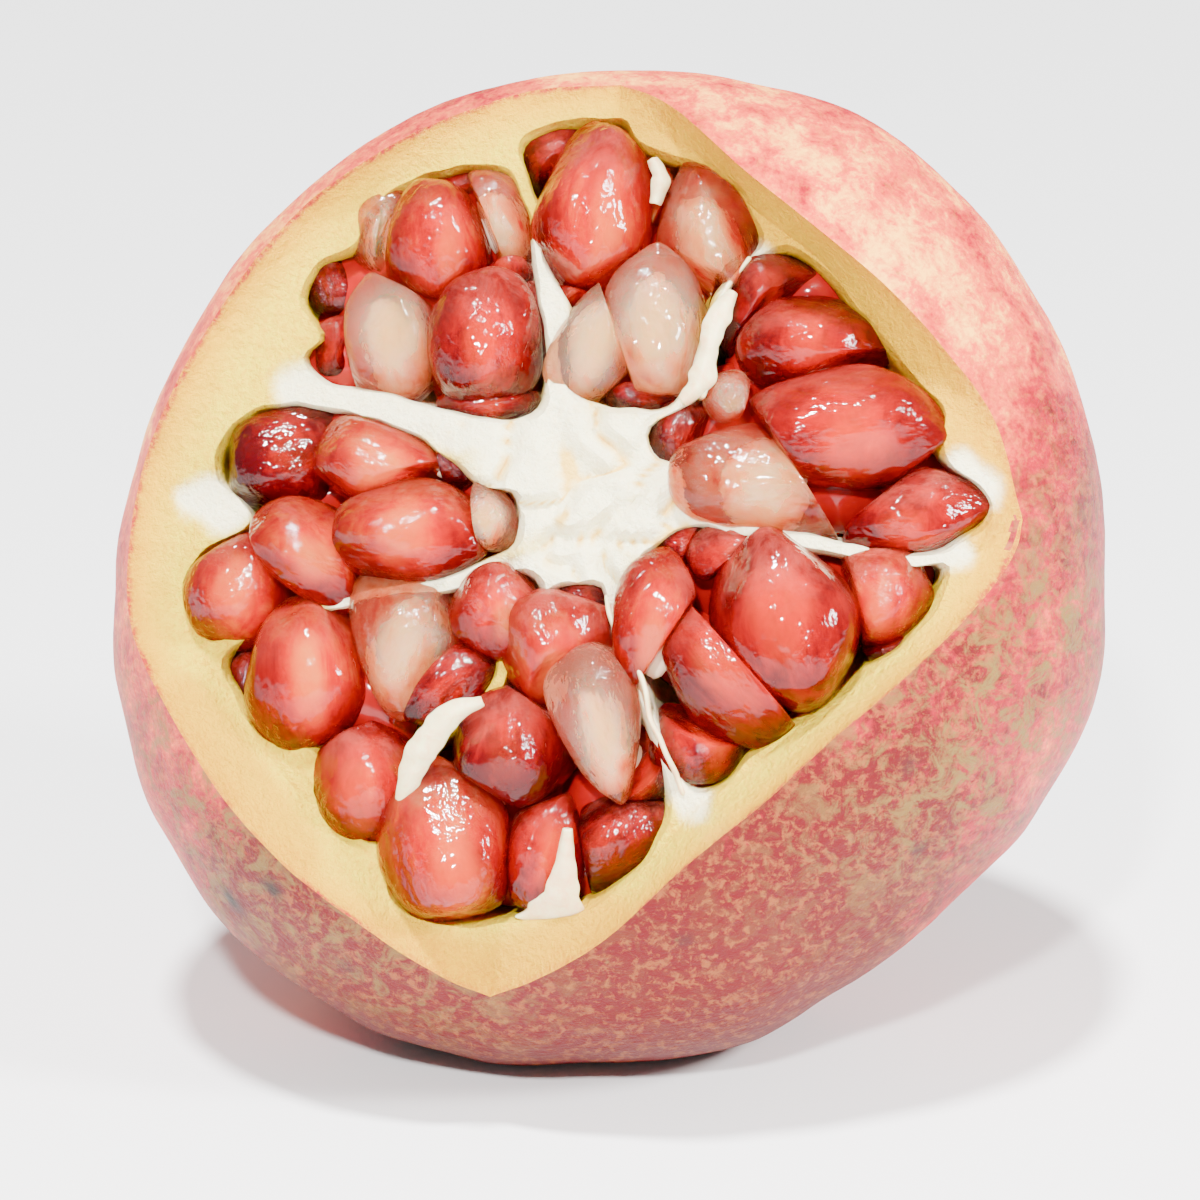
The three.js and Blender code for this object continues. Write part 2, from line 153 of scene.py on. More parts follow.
def skin_distance(directions: np.ndarray) -> np.ndarray:
    """Return how far the skin lies from the fruit's centre.

    Args:
        directions: Unit vectors in the face frame, one a row.

    Returns:
        Distances in mm.
    """
    x, y, z = directions[:, 0], directions[:, 1], directions[:, 2]
    across = np.hypot(x, y)
    angle = np.arctan2(y, x)
    smooth = 1.0 / np.hypot(across / outline_radius(angle), z / DEPTH_RADIUS)
    back = smoothstep(-z, *RIBS_FADE)
    rib = RIB_HEIGHT * across * back * np.cos(RIB_COUNT * angle)
    off_stem = np.arccos(np.clip(directions @ np.array(STEM_DIRECTION), -1.0, 1.0))
    dimple = STEM_DIMPLE_DEPTH * np.exp(-((off_stem / STEM_DIMPLE_SPREAD) ** 2))
    return smooth * (1.0 + rib) - dimple


def depth_under_skin(points: np.ndarray) -> np.ndarray:
    """Return how deep points lie under the skin, measured towards the centre, in mm."""
    length = np.linalg.norm(points, axis=1)
    directions = points / np.maximum(length, 1e-6)[:, None]
    return skin_distance(directions) - length


def pixel_on_skin(pixel: Pixel) -> np.ndarray:
    """Return the point of the skin that a pixel shows, in mm."""
    outside, inside = FRUIT_RADIUS * SKIN_SEARCH_REACH, 0.0
    for _ in range(SKIN_SEARCH_STEPS):
        height = (outside + inside) / 2.0
        point = pixel_at_height(pixel, height)
        if depth_under_skin(point[None, :])[0] < 0.0:
            outside = height
        else:
            inside = height
    return pixel_at_height(pixel, inside)


def rest_turn() -> Matrix:
    """Return the turn from the face frame to the fruit at rest."""
    return Matrix.Rotation(math.radians(90.0 - OPENING_TILT_DEG), 3, "X")


def rest_spot() -> np.ndarray:
    """Return the middle of the spot that the fruit rests on, in the face frame, in mm."""
    down = np.array(rest_turn().transposed() @ Vector((0.0, 0.0, -1.0)))
    direction = down.copy()
    for _ in range(SPOT_SEARCH_STEPS):
        across = float(outline_radius(np.arctan2(direction[1:2], direction[0:1]))[0])
        lowest = np.array((down[0] * across**2, down[1] * across**2, down[2] * DEPTH_RADIUS**2))
        direction = lowest / np.linalg.norm(lowest)
    lowest = direction * skin_distance(direction[None, :])[0]
    return lowest - down * REST_SPOT_DEPTH


REST_TURN = np.array(rest_turn())
REST_SPOT = rest_spot()


def to_world(points: np.ndarray) -> np.ndarray:
    """Turn points of the face frame, in mm, into the fruit's own frame, in metres."""
    return (points - REST_SPOT) @ REST_TURN.T * MM


def to_face(points: np.ndarray) -> np.ndarray:
    """Turn points of the fruit's own frame, in metres, into the face frame, in mm."""
    return points / MM @ REST_TURN + REST_SPOT


def smooth_line(points: np.ndarray, count: int, closed: bool) -> np.ndarray:
    """Return evenly spaced points on a smooth line through given ones.

    Args:
        points: The given points, one a row.
        count: How many points to return.
        closed: Whether the line runs back to its start.

    Returns:
        The points, all but the line's last one.
    """
    rows = list(points)
    if closed:
        rows = [rows[-1], *rows, rows[0], rows[1]]
    else:
        rows = [2 * rows[0] - rows[1], *rows, 2 * rows[-1] - rows[-2]]
    fine = []
    for a, b, c, d in zip(rows, rows[1:], rows[2:], rows[3:]):
        for step in range(CURVE_STEPS):
            t = step / CURVE_STEPS
            bend = 2 * b + (c - a) * t + (2 * a - 5 * b + 4 * c - d) * t**2
            fine.append((bend + (3 * b - a - 3 * c + d) * t**3) / 2)
    fine.append(rows[-2])
    fine = np.array(fine)
    lengths = np.concatenate(([0.0], np.cumsum(np.linalg.norm(np.diff(fine, axis=0), axis=1))))
    places = np.linspace(0.0, lengths[-1], count + 1)[:-1]
    return np.stack([np.interp(places, lengths, fine[:, i]) for i in range(fine.shape[1])], axis=1)


def read_places(piece: Piece) -> np.ndarray:
    """Return the places of a mesh's vertices, one a row."""
    places = np.empty(len(piece.data.vertices) * 3)
    piece.data.vertices.foreach_get("co", places)
    return places.reshape(-1, 3)


def write_places(piece: Piece, places: np.ndarray) -> None:
    """Move a mesh's vertices to new places."""
    piece.data.vertices.foreach_set("co", places.astype(np.float32).ravel())
    piece.data.update()


def write_values(piece: Piece, name: str, values: np.ndarray) -> None:
    """Store a number, or a vector, for each vertex as a named attribute.

    Args:
        piece: The mesh object.
        name: The attribute's name.
        values: One number or one row of three for each vertex.
    """
    vector = values.ndim == 2
    kind = "FLOAT_VECTOR" if vector else "FLOAT"
    attribute = piece.data.attributes.get(name) or piece.data.attributes.new(name, kind, "POINT")
    attribute.data.foreach_set("vector" if vector else "value", values.astype(np.float32).ravel())


def pick_only(piece: Piece) -> None:
    """Select one object alone and make it the active one."""
    bpy.ops.object.select_all(action="DESELECT")
    piece.select_set(True)
    bpy.context.view_layer.objects.active = piece


def new_ball(name: str, subdivisions: int) -> Piece:
    """Add a unit ball of even triangles at the origin."""
    bpy.ops.object.select_all(action="DESELECT")
    bpy.ops.mesh.primitive_ico_sphere_add(subdivisions=subdivisions, radius=1.0)
    ball = bpy.context.object
    ball.name = name
    return ball


def new_sheet(name: str, rows: list[np.ndarray], ring: bool) -> Piece:
    """Lay a grid over rows of points, and join its seam and poles where points meet.

    Args:
        name: The new object's name.
        rows: Rows of points in the face frame, each as long as the others.
        ring: Whether each row runs round and its end joins its start.

    Returns:
        The mesh object, with its points in the fruit's own frame.
    """
    if ring:
        rows = [np.vstack((row, row[:1])) for row in rows]
    across, along = len(rows[0]), len(rows)
    bpy.ops.object.select_all(action="DESELECT")
    bpy.ops.mesh.primitive_grid_add(x_subdivisions=across - 1, y_subdivisions=along - 1, size=1.0)
    sheet = bpy.context.object
    sheet.name = name
    write_places(sheet, to_world(np.vstack(rows)))
    bpy.ops.object.mode_set(mode="EDIT")
    bpy.ops.mesh.select_all(action="SELECT")
    bpy.ops.mesh.remove_doubles(threshold=WELD_DISTANCE)
    if ring:
        bpy.ops.mesh.normals_make_consistent(inside=False)
    bpy.ops.object.mode_set(mode="OBJECT")
    return sheet


def finish_modifier(piece: Piece, modifier: bpy.types.Modifier) -> None:
    """Apply one modifier of a piece."""
    pick_only(piece)
    bpy.ops.object.modifier_apply(modifier=modifier.name)


def soften(piece: Piece, levels: int) -> None:
    """Round a piece off by subdividing it."""
    smooth = piece.modifiers.new("soft", "SUBSURF")
    smooth.levels = levels
    smooth.render_levels = levels
    finish_modifier(piece, smooth)


def cut_away(piece: Piece, cutter: Piece) -> None:
    """Cut a closed cutter out of a closed piece, and remove the cutter."""
    cut = piece.modifiers.new("cut", "BOOLEAN")
    cut.operation = "DIFFERENCE"
    cut.solver = "MANIFOLD"
    cut.object = cutter
    finish_modifier(piece, cut)
    bpy.data.objects.remove(cutter, do_unlink=True)


def join_pieces(name: str, parts: list[Piece]) -> Piece:
    """Join several objects into one mesh object."""
    bpy.ops.object.select_all(action="DESELECT")
    for part in parts:
        part.select_set(True)
    bpy.context.view_layer.objects.active = parts[0]
    bpy.ops.object.join()
    joined = bpy.context.object
    joined.name = name
    return joined


def shade_smooth(piece: Piece, angle_deg: float) -> None:
    """Shade a piece smooth where its faces meet under an angle."""
    pick_only(piece)
    bpy.ops.object.shade_smooth_by_angle(angle=math.radians(angle_deg))


def noise_at(points: np.ndarray, size: float, offset: float = 0.0) -> np.ndarray:
    """Return smooth noise between about -1 and 1 at points in mm, with lumps of a given size."""
    moved = points / size + offset
    return np.array([noise.noise(Vector(row)) for row in moved])


def both_ways(rng: random.Random, reach: float) -> float:
    """Draw a random number from as far below zero as above it."""
    return rng.uniform(-reach, reach)


@dataclass(frozen=True)
class Relief:
    """Relief of a mesh: its height and the size of its lumps, in mm, and where its noise starts."""

    height: float
    size: float
    offset: float = 0.0

    def at(self, points: np.ndarray) -> np.ndarray:
        """Return the relief at points, in mm."""
        return self.height * noise_at(points, self.size, self.offset)


@dataclass(frozen=True)
class Pattern:
    """A material's noise: the size of its lumps in mm, and how fine, rough and twisted it is."""

    size: float
    detail: float = 3.0
    roughness: float = 0.55
    distortion: float = 0.0


class Nodes:
    """A material's node tree, with short calls that add nodes to it."""

    def __init__(self, name: str) -> None:
        """Make a material with only a shader and an output."""
        self.material = bpy.data.materials.new(name)
        self.material.use_nodes = True
        self.tree = self.material.node_tree
        self.shader = self.tree.nodes["Principled BSDF"]

    def set(self, **sockets: float | tuple) -> None:
        """Set sockets of the shader, named with underscores for spaces."""
        for name, value in sockets.items():
            self.shader.inputs[name.replace("_", " ")].default_value = value

    def link(self, source: Socket, target: Socket) -> None:
        """Join two sockets."""
        self.tree.links.new(source, target)

    def place(self) -> Socket:
        """Return the object's own coordinates, in metres."""
        return self.tree.nodes.new("ShaderNodeTexCoord").outputs["Object"]

    def value(self, name: str) -> Socket:
        """Return a stored number of the mesh."""
        node = self.tree.nodes.new("ShaderNodeAttribute")
        node.attribute_name = name
        return node.outputs["Fac"]

    def vector(self, name: str) -> Socket:
        """Return a stored vector of the mesh."""
        node = self.tree.nodes.new("ShaderNodeAttribute")
        node.attribute_name = name
        return node.outputs["Vector"]

    def stretched(self, source: Socket, scale: tuple) -> Socket:
        """Return coordinates scaled along their axes."""
        node = self.tree.nodes.new("ShaderNodeMapping")
        node.inputs["Scale"].default_value = scale
        self.link(source, node.inputs["Vector"])
        return node.outputs["Vector"]

    def noise(self, place: Socket, pattern: Pattern, unit: float = 1.0) -> Socket:
        """Return noise at places whose unit is 1.0 for metres and MM for millimetres."""
        node = self.tree.nodes.new("ShaderNodeTexNoise")
        node.inputs["Scale"].default_value = unit / (pattern.size * MM)
        node.inputs["Detail"].default_value = pattern.detail
        node.inputs["Roughness"].default_value = pattern.roughness
        node.inputs["Distortion"].default_value = pattern.distortion
        self.link(place, node.inputs["Vector"])
        return node.outputs["Fac"]

    def cells(self, place: Socket, spacing: float) -> Socket:
        """Return the distance to the nearest of scattered points, at places in mm."""
        node = self.tree.nodes.new("ShaderNodeTexVoronoi")
        node.inputs["Scale"].default_value = 1.0 / spacing
        self.link(place, node.inputs["Vector"])
        return node.outputs["Distance"]

    def ramp(self, source: Socket, *stops: tuple[float, float]) -> Socket:
        """Return a number reshaped through stops of place and value."""
        node = self.tree.nodes.new("ShaderNodeValToRGB")
        self._fill(node, [(place, (value, value, value)) for place, value in stops])
        self.link(source, node.inputs["Fac"])
        return node.outputs["Color"]

    def colours(self, source: Socket, *stops: tuple[float, tuple]) -> Socket:
        """Return a colour picked by a number, through stops of place and colour."""
        node = self.tree.nodes.new("ShaderNodeValToRGB")
        self._fill(node, list(stops))
        self.link(source, node.inputs["Fac"])
        return node.outputs["Color"]

    @staticmethod
    def _fill(node: bpy.types.Node, stops: list[tuple[float, tuple]]) -> None:
        """Give a ramp its stops."""
        elements = node.color_ramp.elements
        while len(elements) < len(stops):
            elements.new(1.0)
        for element, (place, colour) in zip(elements, stops):
            element.position = place
            element.color = (*colour, 1.0)

    def sum(self, kind: str, first: Socket | float, second: Socket | float) -> Socket:
        """Return a sum of two numbers, of a kind such as MULTIPLY."""
        node = self.tree.nodes.new("ShaderNodeMath")
        node.operation = kind
        for socket, value in zip(node.inputs, (first, second)):
            if isinstance(value, (int, float)):
                socket.default_value = value
            else:
                self.link(value, socket)
        return node.outputs[0]

    def plus(self, first: Socket | float, second: Socket | float) -> Socket:
        """Return two numbers added."""
        return self.sum("ADD", first, second)

    def times(self, first: Socket | float, second: Socket | float) -> Socket:
        """Return two numbers multiplied."""
        return self.sum("MULTIPLY", first, second)

    def swing(self, pattern: Socket, share: float) -> Socket:
        """Return noise as a swing to both sides of zero, scaled by a share."""
        return self.times(self.sum("SUBTRACT", pattern, 0.5), share)

    def mix(self, share: Socket | float, first: Socket | tuple, second: Socket | tuple,
            kind: str = "MIX") -> Socket:
        """Return two colours mixed by a share."""
        node = self.tree.nodes.new("ShaderNodeMix")
        node.data_type = "RGBA"
        node.blend_type = kind
        for socket, value in zip((node.inputs[0], node.inputs[6], node.inputs[7]), (share, first, second)):
            if isinstance(value, Socket):
                self.link(value, socket)
            elif isinstance(value, tuple):
                socket.default_value = (*value, 1.0)
            else:
                socket.default_value = value
        return node.outputs[2]

    def bump(self, height: Socket, depth_mm: float) -> None:
        """Raise the surface by a height of up to a depth in mm."""
        node = self.tree.nodes.new("ShaderNodeBump")
        node.inputs["Strength"].default_value = 1.0
        node.inputs["Distance"].default_value = depth_mm * MM
        self.link(height, node.inputs["Height"])
        self.link(node.outputs["Normal"], self.shader.inputs["Normal"])

    def glow(self, share: float, depth: float, colours: tuple | None = None) -> None:
        """Let light into the surface, to a depth in metres, as far for each colour as colours say."""
        self.set(Subsurface_Weight=share, Subsurface_Scale=depth)
        if colours is not None:
            self.shader.inputs["Subsurface Radius"].default_value = colours

    def colour(self, source: Socket) -> Material:
        """Give the shader its colour, and return the finished material."""
        self.link(source, self.shader.inputs["Base Color"])
        return self.material


def light(red: int, green: int, blue: int) -> tuple[float, float, float]:
    """Turn a screen colour of 0 to 255 into linear light."""
    return tuple((channel / SCREEN_WHITE) ** SCREEN_GAMMA for channel in (red, green, blue))


@dataclass(frozen=True)
class SkinFinish:
    """The leathery skin: cream, flushed and flecked with pink and crimson, with russet and scars; the crimson
    is made deeper low on the fruit as painted shade.
    """

    cream: tuple = (0.93, 0.42, 0.08)
    tan: tuple = (0.6, 0.22, 0.04)
    pale_pink: tuple = (0.66, 0.075, 0.035)
    pink: tuple = (0.34, 0.004, 0.014)
    crimson: tuple = (0.11, 0.001, 0.003)
    olive: tuple = (0.17, 0.1, 0.02)
    scar: tuple = (0.025, 0.018, 0.014)
    stretch: tuple = (1.0, 1.0, 0.42)
    clouds: Pattern = Pattern(15.0, 4.0, 0.6, 0.5)
    mottle: Pattern = Pattern(3.0, 6.0, 0.72, 0.6)
    flecks: Pattern = Pattern(0.6, 4.0, 0.65, 0.3)
    tan_flecks: Pattern = Pattern(0.9, 5.0, 0.7, 0.4)
    russet_patches: Pattern = Pattern(2.6, 6.0, 0.75, 0.9)
    pores: Pattern = Pattern(0.7)
    cloud_share: float = 1.2
    mottle_share: float = 1.05
    fleck_share: float = 0.55
    tan_share: float = 0.24
    speck_spacing: float = 2.3
    speck_share: float = 0.45
    roughness: float = 0.48
    shine: float = 0.14
    mottle_relief: float = 1.6
    relief_mm: float = 0.11

    def material(self) -> Material:
        """Return the skin's material."""
        nodes = Nodes("skin")
        fruit = nodes.vector("fruit")
        along = nodes.stretched(fruit, self.stretch)
        mottle = nodes.noise(along, self.mottle, MM)
        clouds = nodes.noise(fruit, self.clouds, MM)
        # The blush value is the skin's own flush, made deeper low on the fruit as painted shade
        flush = nodes.plus(nodes.value("blush_and_shade"), nodes.swing(clouds, self.cloud_share))
        flush = nodes.plus(flush, nodes.swing(mottle, self.mottle_share))
        flush = nodes.plus(flush, nodes.swing(nodes.noise(along, self.flecks, MM), self.fleck_share))
        tone = nodes.colours(
            flush, (0.08, self.cream), (0.34, self.pale_pink), (0.6, self.pink), (0.9, self.crimson),
        )
        tan = nodes.ramp(nodes.noise(along, self.tan_flecks, MM), (0.5, 0.0), (0.62, 1.0))
        tone = nodes.mix(nodes.times(tan, self.tan_share), tone, self.tan)
        patches = nodes.ramp(nodes.noise(along, self.russet_patches, MM), (0.47, 0.0), (0.6, 1.0))
        tone = nodes.mix(nodes.times(nodes.value("russet"), patches), tone, self.olive)
        specks = nodes.ramp(nodes.cells(fruit, self.speck_spacing), (0.05, 1.0), (0.12, 0.0))
        tone = nodes.mix(nodes.times(specks, self.speck_share), tone, self.olive)
        tone = nodes.mix(nodes.value("scar"), tone, self.scar)
        nodes.set(Roughness=self.roughness, Specular_IOR_Level=self.shine)
        relief = nodes.plus(nodes.noise(fruit, self.pores, MM), nodes.times(mottle, self.mottle_relief))
        nodes.bump(relief, self.relief_mm)
        return nodes.colour(tone)


@dataclass(frozen=True)
class RindFinish:
    """The cut rim and the pith: a red line at the skin, yellow flesh, then cream to white pith, with painted
    shade in the folds of the core.
    """

    skin_edge: tuple = (0.5, 0.03, 0.03)
    amber: tuple = (0.76, 0.34, 0.0005)
    yellow: tuple = (0.97, 0.51, 0.001)
    pale: tuple = (1.0, 0.72, 0.016)
    white: tuple = (1.0, 0.92, 0.6)
    # A deeper yellow for the rim's own grain and for painted shade in the core's folds
    grain_and_crease_shade: tuple = (0.9, 0.5, 0.004)
    wander: Pattern = Pattern(1.6, 5.0)
    blotches: Pattern = Pattern(2.0, 5.0, 0.65)
    grain: Pattern = Pattern(0.5, 4.0, 0.75)
    lumps: Pattern = Pattern(1.3, 4.0, 0.6)
    wander_share: float = 0.12
    blotch_share: float = 0.35
    pith_smoothness: float = 0.8
    pith_relief: float = 0.3
    roughness: float = 0.3
    shine: float = 0.14
    glow_share: float = 0.2
    glow_depth: float = 0.001
    glow_colours: tuple = (1.0, 0.6, 0.25)
    relief_mm: float = 0.9

    def material(self) -> Material:
        """Return the rind's material."""
        nodes = Nodes("rind")
        place = nodes.place()
        wander = nodes.swing(nodes.noise(place, self.wander), self.wander_share)
        depth = nodes.plus(nodes.value("depth"), wander)
        tone = nodes.colours(
            depth, (0.0, self.skin_edge), (0.035, self.skin_edge), (0.075, self.amber),
            (0.2, self.yellow), (0.5, self.pale),
        )
        tone = nodes.mix(nodes.value("warm"), tone, self.amber)
        blotch = nodes.ramp(nodes.noise(place, self.blotches), (0.4, 0.0), (0.65, 1.0))
        tone = nodes.mix(nodes.times(blotch, self.blotch_share), tone, self.yellow)
        tone = nodes.mix(nodes.value("pith"), tone, self.white)
        grain = nodes.noise(place, self.grain)
        rim = nodes.sum("SUBTRACT", 1.0, nodes.times(nodes.value("pith"), self.pith_smoothness))
        cells = nodes.times(nodes.ramp(grain, (0.46, 0.0), (0.62, 0.6)), rim)
        tone = nodes.mix(cells, tone, self.grain_and_crease_shade)
        # Painted shade: the deeper yellow along the valleys of the core's folds
        tone = nodes.mix(nodes.value("grain_and_crease_shade"), tone, self.grain_and_crease_shade)
        nodes.set(Roughness=self.roughness, Specular_IOR_Level=self.shine)
        nodes.glow(self.glow_share, self.glow_depth, self.glow_colours)
        relief = nodes.plus(grain, nodes.noise(place, self.lumps))
        nodes.bump(nodes.times(relief, nodes.plus(rim, self.pith_relief)), self.relief_mm)
        return nodes.colour(tone)


class Tone(Enum):
    """How ripe an aril looks: the place of its colour between clear and ruby."""

    CLEAR = 0.05
    PEACH = 0.26
    CORAL = 0.5
    RED = 0.72
    RUBY = 0.95


@dataclass(frozen=True)
class ArilFinish:
    """Wet, translucent aril flesh: clear, peach, coral, red or ruby, with a painted pale sheen at its top."""

    clear: tuple = (0.7, 0.28, 0.11)
    peach: tuple = (0.76, 0.085, 0.014)
    coral: tuple = (0.62, 0.006, 0.003)
    red: tuple = (0.4, 0.0014, 0.003)
    ruby: tuple = (0.13, 0.0005, 0.003)
    # Painted sheen: the pale pink that stands in for light reflected off the top of an aril
    painted_sheen: tuple = (0.8, 0.14, 0.1)
    # Painted shade at an aril's outline
    edge: tuple = (0.3, 0.12, 0.16)
    seed: tuple = (0.99, 0.58, 0.16)
    painted_inner_light: tuple = (0.95, 0.1, 0.008)
    name: str = "aril"
    clearness: float = 0.64
    stretch: tuple = (2.4, 0.8, 2.4)
    streaks: Pattern = Pattern(0.7, 4.0, 0.62, 0.8)
    clouds: Pattern = Pattern(0.75, 4.0, 0.6, 0.6)
    sheen_patches: Pattern = Pattern(0.7, 5.0, 0.7, 0.5)
    ripples: Pattern = Pattern(0.13, 2.0, 0.5, 0.3)
    ripple_patches: Pattern = Pattern(0.6, 2.0, 0.5)
    dimples: Pattern = Pattern(0.42, 2.0, 0.5, 0.2)
    pattern_share: float = 0.9
    glow_lift: float = 0.5
    seed_and_inner_light_share: float = 0.85
    roughness: float = 0.06
    bending: float = 1.34
    glow_share: float = 0.85
    glow_depth: float = 0.0018
    glow_colours: tuple = (1.0, 0.28, 0.2)
    dimple_relief: float = 2.2
    relief_mm: float = 0.16

    def material(self) -> Material:
        """Return the arils' material."""
        nodes = Nodes(self.name)
        local = nodes.vector("local")
        streaks = nodes.noise(nodes.stretched(local, self.stretch), self.streaks, MM)
        clouds = nodes.noise(local, self.clouds, MM)
        place = nodes.value("tone")
        for pattern in (streaks, clouds):
            place = nodes.plus(place, nodes.swing(pattern, self.pattern_share))
        glow = nodes.times(nodes.value("glow"), nodes.ramp(streaks, (0.25, 0.55), (0.6, 1.0)))
        place = nodes.sum("SUBTRACT", place, nodes.times(glow, self.glow_lift))
        tone = nodes.colours(
            place, (0.0, self.clear), (0.26, self.peach), (0.5, self.coral), (0.74, self.red),
            (1.0, self.ruby),
        )
        # Painted shade: darker towards each aril's outline
        tone = nodes.mix(nodes.value("edge"), tone, self.edge, "MULTIPLY")
        # The pale seed seen through the flesh, and on the riper arils painted light shining through their
        # middle
        seed_and_inner_light = nodes.colours(nodes.value("tone"), (0.3, self.seed), (0.75, self.painted_inner_light))
        tone = nodes.mix(nodes.times(glow, self.seed_and_inner_light_share), tone, seed_and_inner_light)
        # Painted sheen: pale pink patches on the top front of each aril, in place of reflected light
        sheen_patches = nodes.ramp(nodes.noise(local, self.sheen_patches, MM), (0.42, 0.15), (0.62, 1.0))
        tone = nodes.mix(nodes.times(sheen_patches, nodes.value("painted_sheen")), tone, self.painted_sheen)
        nodes.set(Roughness=self.roughness, IOR=self.bending, Transmission_Weight=self.clearness)
        nodes.glow(self.glow_share, self.glow_depth, self.glow_colours)
        patch = nodes.ramp(nodes.noise(local, self.ripple_patches, MM), (0.38, 0.0), (0.56, 1.0))
        ripple = nodes.times(nodes.noise(local, self.ripples, MM), patch)
        dimple = nodes.times(nodes.noise(local, self.dimples, MM), self.dimple_relief)
        nodes.bump(nodes.plus(ripple, dimple), self.relief_mm)
        return nodes.colour(tone)


@dataclass(frozen=True)
class DeepArilFinish:
    """The arils packed out of the light below the ones that show."""

    ruby: tuple = (0.12, 0.002, 0.003)
    red: tuple = (0.4, 0.006, 0.005)
    clouds: Pattern = Pattern(4.0)
    roughness: float = 0.1
    bending: float = 1.36

    def material(self) -> Material:
        """Return the deep arils' material."""
        nodes = Nodes("aril_deep")
        nodes.set(Roughness=self.roughness, IOR=self.bending)
        return nodes.colour(nodes.mix(nodes.noise(nodes.place(), self.clouds), self.ruby, self.red))


@dataclass(frozen=True)
class SeedFinish:
    """The pale seed inside each aril."""

    pale: tuple = light(250, 232, 204)
    tan: tuple = light(238, 190, 150)
    clouds: Pattern = Pattern(1.2)
    roughness: float = 0.5
    glow_share: float = 0.3
    glow_depth: float = 0.001

    def material(self) -> Material:
        """Return the seeds' material."""
        nodes = Nodes("seed")
        nodes.set(Roughness=self.roughness)
        nodes.glow(self.glow_share, self.glow_depth)
        return nodes.colour(nodes.mix(nodes.noise(nodes.place(), self.clouds), self.pale, self.tan))


@dataclass(frozen=True)
class MembraneFinish:
    """The thin torn membranes between the bunches: white, flushed pink where flesh shines through."""

    white: tuple = (0.94, 0.72, 0.4)
    flush: tuple = (0.9, 0.52, 0.26)
    veins: Pattern = Pattern(1.4, 5.0, 0.65, 0.8)
    roughness: float = 0.35
    shine: float = 0.4
    glow_share: float = 0.6
    glow_depth: float = 0.0015
    relief_mm: float = 0.12

    def material(self) -> Material:
        """Return the membranes' material."""
        nodes = Nodes("membrane")
        veins = nodes.noise(nodes.place(), self.veins)
        nodes.set(Roughness=self.roughness, Specular_IOR_Level=self.shine)
        nodes.glow(self.glow_share, self.glow_depth)
        nodes.bump(veins, self.relief_mm)
        return nodes.colour(nodes.mix(nodes.ramp(veins, (0.4, 0.0), (0.7, 1.0)), self.white, self.flush))


@dataclass(frozen=True)
class WoodFinish:
    """The dry woody scar at the stem end."""

    light_wood: tuple = light(150, 118, 82)
    dark_wood: tuple = light(78, 58, 40)
    grain: Pattern = Pattern(0.7, 5.0, 0.7, 0.5)
    roughness: float = 0.85
    relief_mm: float = 0.3

    def material(self) -> Material:
        """Return the scar's material."""
        nodes = Nodes("stem_wood")
        grain = nodes.noise(nodes.place(), self.grain)
        nodes.set(Roughness=self.roughness)
        nodes.bump(grain, self.relief_mm)
        return nodes.colour(nodes.mix(grain, self.dark_wood, self.light_wood))


@dataclass(frozen=True)
class FloorFinish:
    """The plain pale floor."""

    white: tuple = (0.82, 0.82, 0.82)
    roughness: float = 0.6

    def material(self) -> Material:
        """Return the floor's material."""
        nodes = Nodes("floor")
        nodes.set(Roughness=self.roughness, Base_Color=(*self.white, 1.0))
        return nodes.material


@dataclass
class SkinSpot:
    """A patch of the skin that a pixel shows, or the place behind it, with a radius in mm and a strength."""

    pixel: Pixel
    radius: float
    strength: float
    back: bool = False

    def cover(self, points: np.ndarray) -> np.ndarray:
        """Return how much of each point the patch covers."""
        middle = pixel_on_skin(self.pixel)
        if self.back:
            middle[2] = -middle[2]
        off = np.linalg.norm(points - middle, axis=1)
        return self.strength * np.exp(-((off / self.radius) ** 2))


